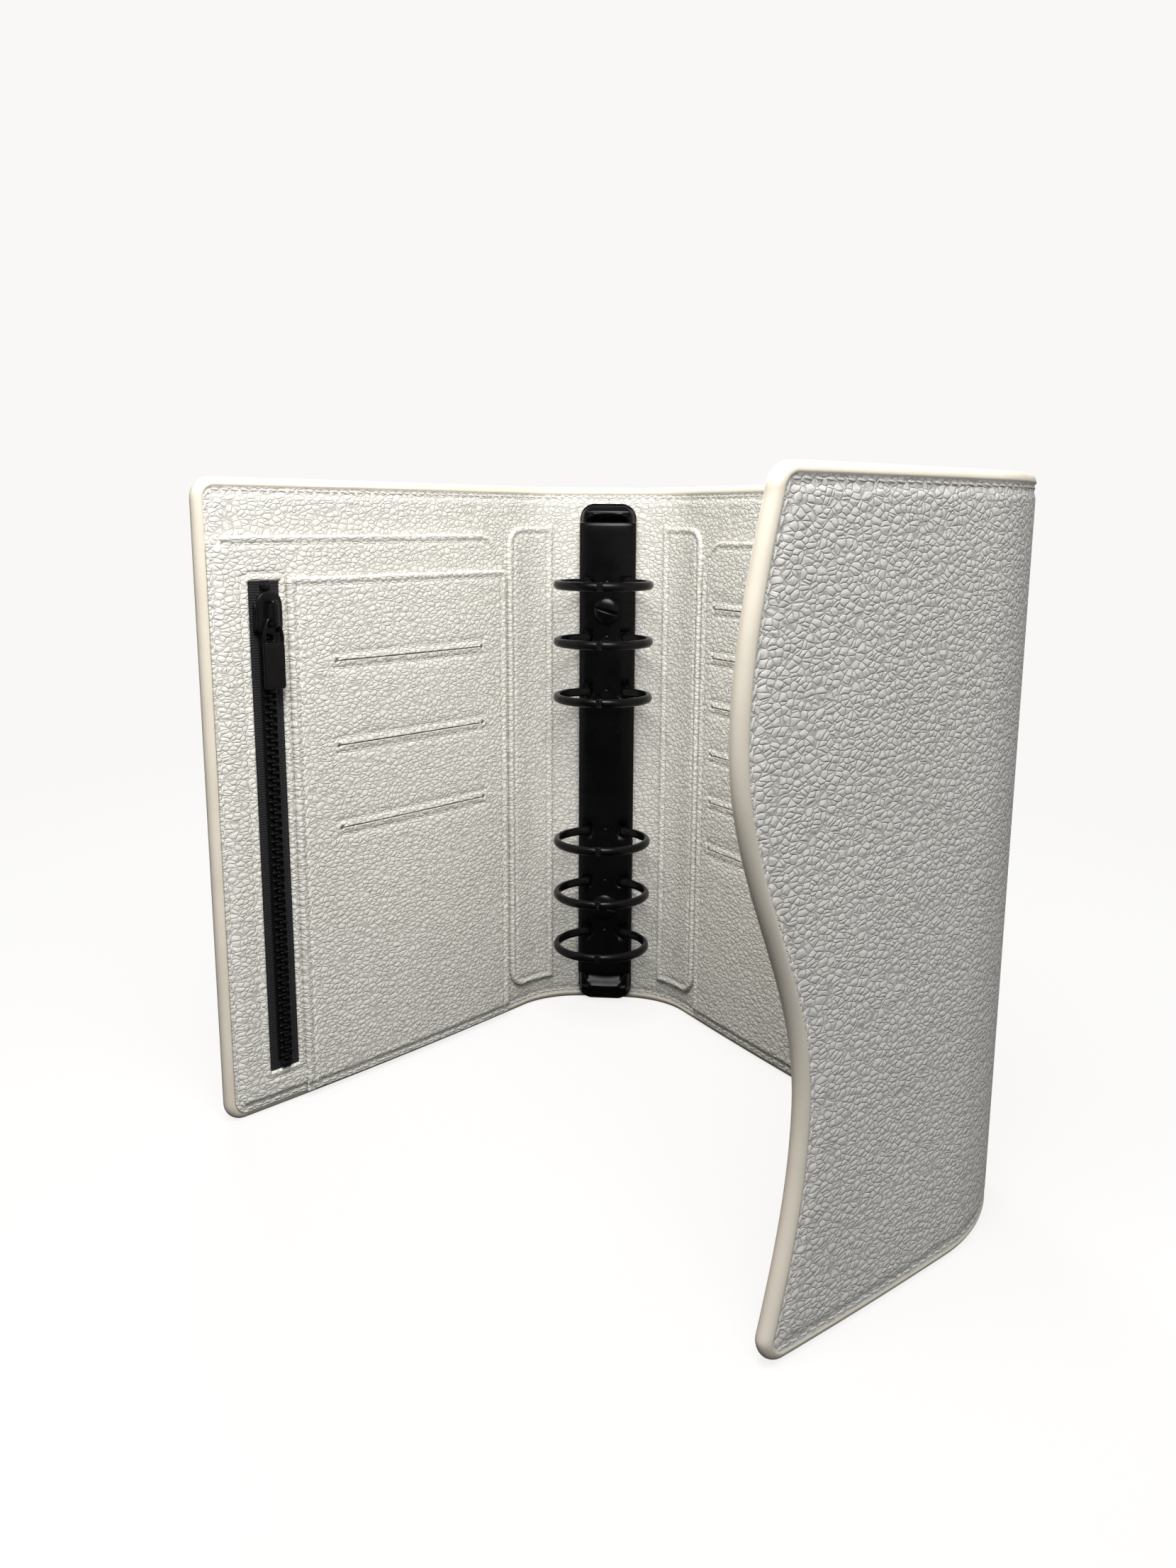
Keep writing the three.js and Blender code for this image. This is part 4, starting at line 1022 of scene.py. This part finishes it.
def zipper_pull():
    """Long flat tab hung on a D-shaped eye."""
    piece = Piece("zip_pull_tab", GLOSS)
    top, level = PULL_AXIS
    low = top + 0.55 - PULL_LENGTH
    shoulder = top - PULL_EYE - 0.6
    plate(piece, zip_frame, low, shoulder, PULL_HALF_WIDTH, 0.9, 0.5, level - 0.5, level + 0.5, 0.35)
    wire = [(-PULL_WIRE_HALF, shoulder - 0.3), (-PULL_WIRE_HALF, shoulder + 2.0)]
    wire += [(-2.5, shoulder + 4.2), (-1.5, top - 0.15)]
    eye = [*wire, (0, top), *((-a, z) for a, z in reversed(wire))]
    a, z = curve(eye)
    tube(piece, zip_frame.place(a, z, level), 0.5, 0.5, zip_frame.inward, sides=12)
    bar = np.linspace(-PULL_WIRE_HALF, PULL_WIRE_HALF, 9)
    places = zip_frame.place(bar, shoulder, level)
    tube(piece, places, 0.55, 0.5, zip_frame.inward, sides=12)
    ride(piece, "pull", "zipper_pull", slot="black_metal")


zipper_tapes()
zipper_teeth()
zipper_stops()
zipper_slider()
zipper_pull()


# Ring mechanism: heights here are above the lining
class Mechanism:
    """Frame on the spine's lining: x to the right, z up from the middle, h towards the reader."""

    mirrored = False

    @staticmethod
    def place(x, z, h):
        x, z, h = np.broadcast_arrays(*(np.asarray(value, float) for value in (x, z, h)))
        return np.stack([x, -(h + MECHANISM_FACE), z + MECHANISM_MIDDLE], -1) * MM


mechanism = Mechanism()


def crown(x, height):
    """Height of the arched plate across its width."""
    rise = np.sqrt(np.clip(1 - (x / ARCH_HALF_WIDTH) ** 2, 0, 1))
    return ARCH_SHOULDER + (height - ARCH_SHOULDER) * rise


def ring_arch():
    piece = Piece("ring_arch_cover", METAL)
    share = np.sin(np.linspace(-np.pi / 2, np.pi / 2, 41))
    notch = [s * x for s in (-1, 1) for x in (4.2, 4.6, 5.3, 6.4, 7.5, 8.2, 8.6)]
    columns = np.array(sorted({round(float(x), 3) for x in [*(share * ARCH_HALF_WIDTH), *notch]}))
    rows = []
    for z in RING_OFFSETS:
        rows += [z + side * d for side in (-1, 1) for d in (0, .6, 1.2, 1.7, 2.0)]
    low, high = -ARCH_HALF + LEVER_LAP, ARCH_HALF
    ends = (0, .2, .6, 1.2)
    across, up = np.meshgrid(columns, lines(low, high, 3.0, ends, ends, rows))
    u = (across[:-1, :-1] + across[1:, 1:]) / 2
    v = (up[:-1, :-1] + up[1:, 1:]) / 2
    keep = np.ones(u.shape, bool)
    for z in RING_OFFSETS:
        for side in (-1, 1):
            aside = np.abs(side * u - ARCH_HOLE_PLACE) / ARCH_HOLE_HALF[0]
            keep &= ~((aside ** 4 + (np.abs(v - z) / ARCH_HOLE_HALF[1]) ** 4) < 1)
    soften = 0.45 * (1 - smooth(np.minimum(up - low, high - up) / 0.9))
    dents = sum(0.3 * bump(np.hypot(across, up - z), 1.4) for z in RING_OFFSETS)
    arch = crown(across, ARCH_HEIGHT) - soften
    sheet(piece, mechanism, across, up, arch - dents, arch - ARCH_SHEET, keep=keep)
    h, z = np.meshgrid(np.linspace(0.25, 2.9, 8), np.linspace(low + 0.3, high - 0.3, 60))
    for side in (-1, 1):
        sheet(piece, Side(side), h, z, 0, -ARCH_SHEET)
    rivets = [(0, z, ARCH_HEIGHT - 0.35) for z in RING_OFFSETS]
    balls(piece, mechanism, rivets, [(1, 0)] * len(rivets), (0.85, 0.85, 0.5), rings=8, sides=12)
    ride(piece, "spine", "ring_arch", slot="black_metal")


class Side:
    """Frame on one long side of the arch."""

    def __init__(self, side):
        self.side = side
        self.mirrored = side > 0

    def place(self, h, z, inset):
        return mechanism.place(self.side * (ARCH_HALF_WIDTH - 0.06 + inset), z, h)


def half_ring(hand, side, number, z):
    piece = Piece(f"{hand}_ring_{number}_wire", METAL)
    turn_in = math.asin((RING_FOOT + RING_BEND) / (RING_RADIUS + RING_BEND))
    bend_lift = RING_LIFT - (RING_RADIUS + RING_BEND) * math.cos(turn_in)
    points = [(RING_FOOT, RING_BLADE)]
    for i in range(7):
        angle = (turn_in - math.pi / 2) * i / 6
        foot_x = RING_FOOT + RING_BEND * (1 - math.cos(angle))
        points.append((foot_x, bend_lift - RING_BEND * math.sin(angle)))
    for i in range(1, 33):
        angle = turn_in + (math.pi - 0.012 - turn_in) * i / 32
        points.append((RING_RADIUS * math.sin(angle), RING_LIFT - RING_RADIUS * math.cos(angle)))
    x, h = (np.array(column) for column in zip(*points))
    tube(piece, mechanism.place(side * x, z, h), *RING_WIRE, (0, 0, 1), sides=18)
    ride(piece, f"{hand}_rings", f"{hand}_half_ring_{number}", slot="black_metal")


def lever(name, sign):
    """Cup-shaped end lever: a scoop that rises from the arch to a lip, with round outer corners."""
    piece = Piece(f"{name}_cup", METAL)
    inner = ARCH_HALF - (LEVER_LAP if sign < 0 else 0.0) + 0.15
    length = LEVER_TIP - inner
    steps = inner + length * (0.5 - 0.5 * np.cos(np.linspace(0, np.pi, 40)))
    widths = np.maximum(ARCH_HALF_WIDTH - 0.05 - corner_cut(LEVER_TIP - steps, LEVER_CORNER), 0.3)
    across, along = disc_grid(widths, steps, 48)
    s = (along - inner) / length
    rim = np.minimum(widths[:, None] - np.abs(across), LEVER_TIP - along)
    edge = smooth(np.clip(rim / 1.6, 0, 1))
    scoop = 1 - smooth((np.abs(across) - 5.0 - 1.6 * (1 - s / 0.45)) / 1.2)
    ramp = smooth(s / 0.45)
    swell = 0.9 * bump(s - 0.5, 0.2)
    lip = LEVER_LIP + swell
    base = crown(across, 5.4)
    floor_height = LEVER_FLOOR + (lip - LEVER_FLOOR) * ramp
    scooped = base * (1 - scoop) + floor_height * scoop
    body = np.where(s < 0.45, scooped, np.minimum(base + swell, lip))
    front = 0.9 + (body - 0.9) * (0.35 + 0.65 * edge) - 1.6 * smooth((s - 0.6) / 0.4)
    back = 0.75 + 1.9 * np.clip((along - ARCH_HALF) / (LEVER_TIP - ARCH_HALF), 0, 1)
    front = np.maximum(front, back + 0.5)
    if sign < 0:
        across, along, front, back = (value[::-1] for value in (across, -along, front, back))
    sheet(piece, mechanism, across, along, front, back)
    ride(piece, name, name, slot="black_metal")


def screw(name, z):
    """Low domed head with a slot across it."""
    piece = Piece(f"{name}_head", METAL)
    chords = SCREW_RADIUS * np.sin(np.linspace(-np.pi / 2, np.pi / 2, 31))
    slot_sides = [side * (SCREW_SLOT_HALF + step) for side in (-1, 1) for step in (-0.03, 0.03)]
    offsets = np.array(sorted({round(float(x), 4) for x in (*chords, *slot_sides)}))
    widths = np.sqrt(np.maximum(SCREW_RADIUS ** 2 - offsets ** 2, 0.01))
    along, across = disc_grid(widths, offsets, 40)
    radius = np.hypot(along, across)
    seat = ARCH_HEIGHT + 0.1
    dome = seat + 0.5 + (SCREW_HEIGHT - 0.5) * np.sqrt(np.clip(1 - (radius / SCREW_RADIUS) ** 2, 0, 1))
    bottom = seat + SCREW_HEIGHT - SCREW_SLOT_DEPTH
    front = np.where(np.abs(across) < SCREW_SLOT_HALF, np.minimum(dome, bottom), dome)
    c, s = math.cos(SCREW_SLOT_TURN), math.sin(SCREW_SLOT_TURN)
    x, up = along * c + across * s, across * c - along * s + z
    sheet(piece, mechanism, x, up, front, seat - 0.6)
    ride(piece, "spine", name, slot="black_metal")


ring_arch()
for number, offset in enumerate(RING_OFFSETS, 1):
    half_ring("left", -1, number, offset)
    half_ring("right", 1, number, offset)
lever("upper_lever", 1)
lever("lower_lever", -1)
screw("upper_screw", SCREW_OFFSETS[0])
screw("lower_screw", SCREW_OFFSETS[1])

# CAD nodes that stay
STEEL_NODES = ["left_blade", "right_blade", "upper_screw_post", "lower_screw_post"]
STEEL_NODES += ["front_cover_magnet", "flap_magnet"]
for node_name in STEEL_NODES:
    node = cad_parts[node_name]
    node.data.materials.clear()
    node.data.materials.append(STEEL)


# Floor, light and camera
BACKGROUND = (0.947, 0.938, 0.922, 1)


def floor_material():
    """Pale floor: white to the eye with the object's shadow, dark to the light that it throws back."""
    material = bpy.data.materials.new("floor_paper")
    g = Graph(material)
    dark = g.node("ShaderNodeBsdfDiffuse", {"Color": (0.05, 0.05, 0.05, 1)}).outputs[0]
    shaded = g.node("ShaderNodeBsdfDiffuse", {"Color": (0.14, 0.14, 0.14, 1)}).outputs[0]
    glow = g.node("ShaderNodeEmission", {"Color": BACKGROUND, "Strength": 0.87}).outputs[0]
    both = g.node("ShaderNodeAddShader", {0: shaded, 1: glow}).outputs[0]
    white = g.node("ShaderNodeEmission", {"Color": BACKGROUND}).outputs[0]
    place = g.node("ShaderNodeNewGeometry").outputs["Position"]
    distance = g.node("ShaderNodeVectorMath", {0: place}, operation="LENGTH").outputs["Value"]
    far = g.range(distance, 0.25, 0.6)
    faded = g.node("ShaderNodeMixShader", {0: far, 1: both, 2: white}).outputs[0]
    g.show(g.for_the_eye(dark, faded))
    return material


def make_floor():
    mesh = bpy.data.meshes.new("floor")
    size = 6.0
    corners = [(-size, -size, 0), (size, -size, 0), (size, size, 0), (-size, size, 0)]
    mesh.from_pydata(corners, [], [(0, 1, 2, 3)])
    mesh.materials.append(floor_material())
    floor = bpy.data.objects.new("floor", mesh)
    bpy.context.scene.collection.objects.link(floor)


def make_world():
    world = bpy.data.worlds.new("studio")
    bpy.context.scene.world = world
    g = Graph(world, "ShaderNodeOutputWorld")
    fill = g.node("ShaderNodeBackground", {"Color": (0.95, 0.97, 1.0, 1), "Strength": 0.14}).outputs[0]
    seen = g.node("ShaderNodeBackground", {"Color": BACKGROUND}).outputs[0]
    g.show(g.for_the_eye(fill, seen))


def area_light(name, place, target, size, watts, colour=(1, 1, 1)):
    lamp = bpy.data.lights.new(name, "AREA")
    lamp.shape = "DISK"
    lamp.size = size
    lamp.energy = watts
    lamp.color = colour
    light = bpy.data.objects.new(name, lamp)
    light.location = place
    light.rotation_euler = (Vector(target) - Vector(place)).to_track_quat("-Z", "Y").to_euler()
    bpy.context.scene.collection.objects.link(light)


CAMERA_PLACE = (0.03588, -0.46065, 0.17776)
CAMERA_FORWARD = (-0.09098, 0.97517, -0.20190)
CAMERA_ROLL = 0.005
FOCAL_PIXELS = 1805.0
IMAGE_HEIGHT = 2212.0
SENSOR = 36.0


def make_camera():
    data = bpy.data.cameras.new("camera")
    data.sensor_fit = "VERTICAL"
    data.sensor_height = SENSOR
    data.sensor_width = SENSOR
    data.lens = FOCAL_PIXELS / IMAGE_HEIGHT * SENSOR
    data.clip_start = 0.01
    camera = bpy.data.objects.new("camera", data)
    forward = Vector(CAMERA_FORWARD).normalized()
    level = forward.cross(Vector((0, 0, 1))).normalized()
    upright = level.cross(forward)
    side = level * math.cos(CAMERA_ROLL) + upright * math.sin(CAMERA_ROLL)
    top = upright * math.cos(CAMERA_ROLL) - level * math.sin(CAMERA_ROLL)
    turn = Matrix((side, top, -forward)).transposed().to_4x4()
    camera.matrix_world = Matrix.Translation(CAMERA_PLACE) @ turn
    bpy.context.scene.collection.objects.link(camera)
    bpy.context.scene.camera = camera


make_floor()
make_world()
area_light("key", (-0.01, -0.28, 0.45), (0.0, -0.06, 0.14), 0.28, 1.95, (1.0, 0.99, 0.97))
area_light("front_fill", (0.25, -1.1, 1.0), (0.0, -0.1, 0.12), 0.8, 9.8, (0.93, 0.955, 1.0))
area_light("back_fill", (-0.5, 1.2, 0.7), (0.0, 0.0, 0.1), 0.8, 15.0, (0.97, 0.98, 1.0))
area_light("right_fill", (1.3, 0.1, 0.7), (0.0, -0.1, 0.1), 0.8, 2.5, (0.97, 0.98, 1.0))
make_camera()
bpy.context.scene.view_settings.view_transform = "Standard"

bpy.context.view_layer.update()
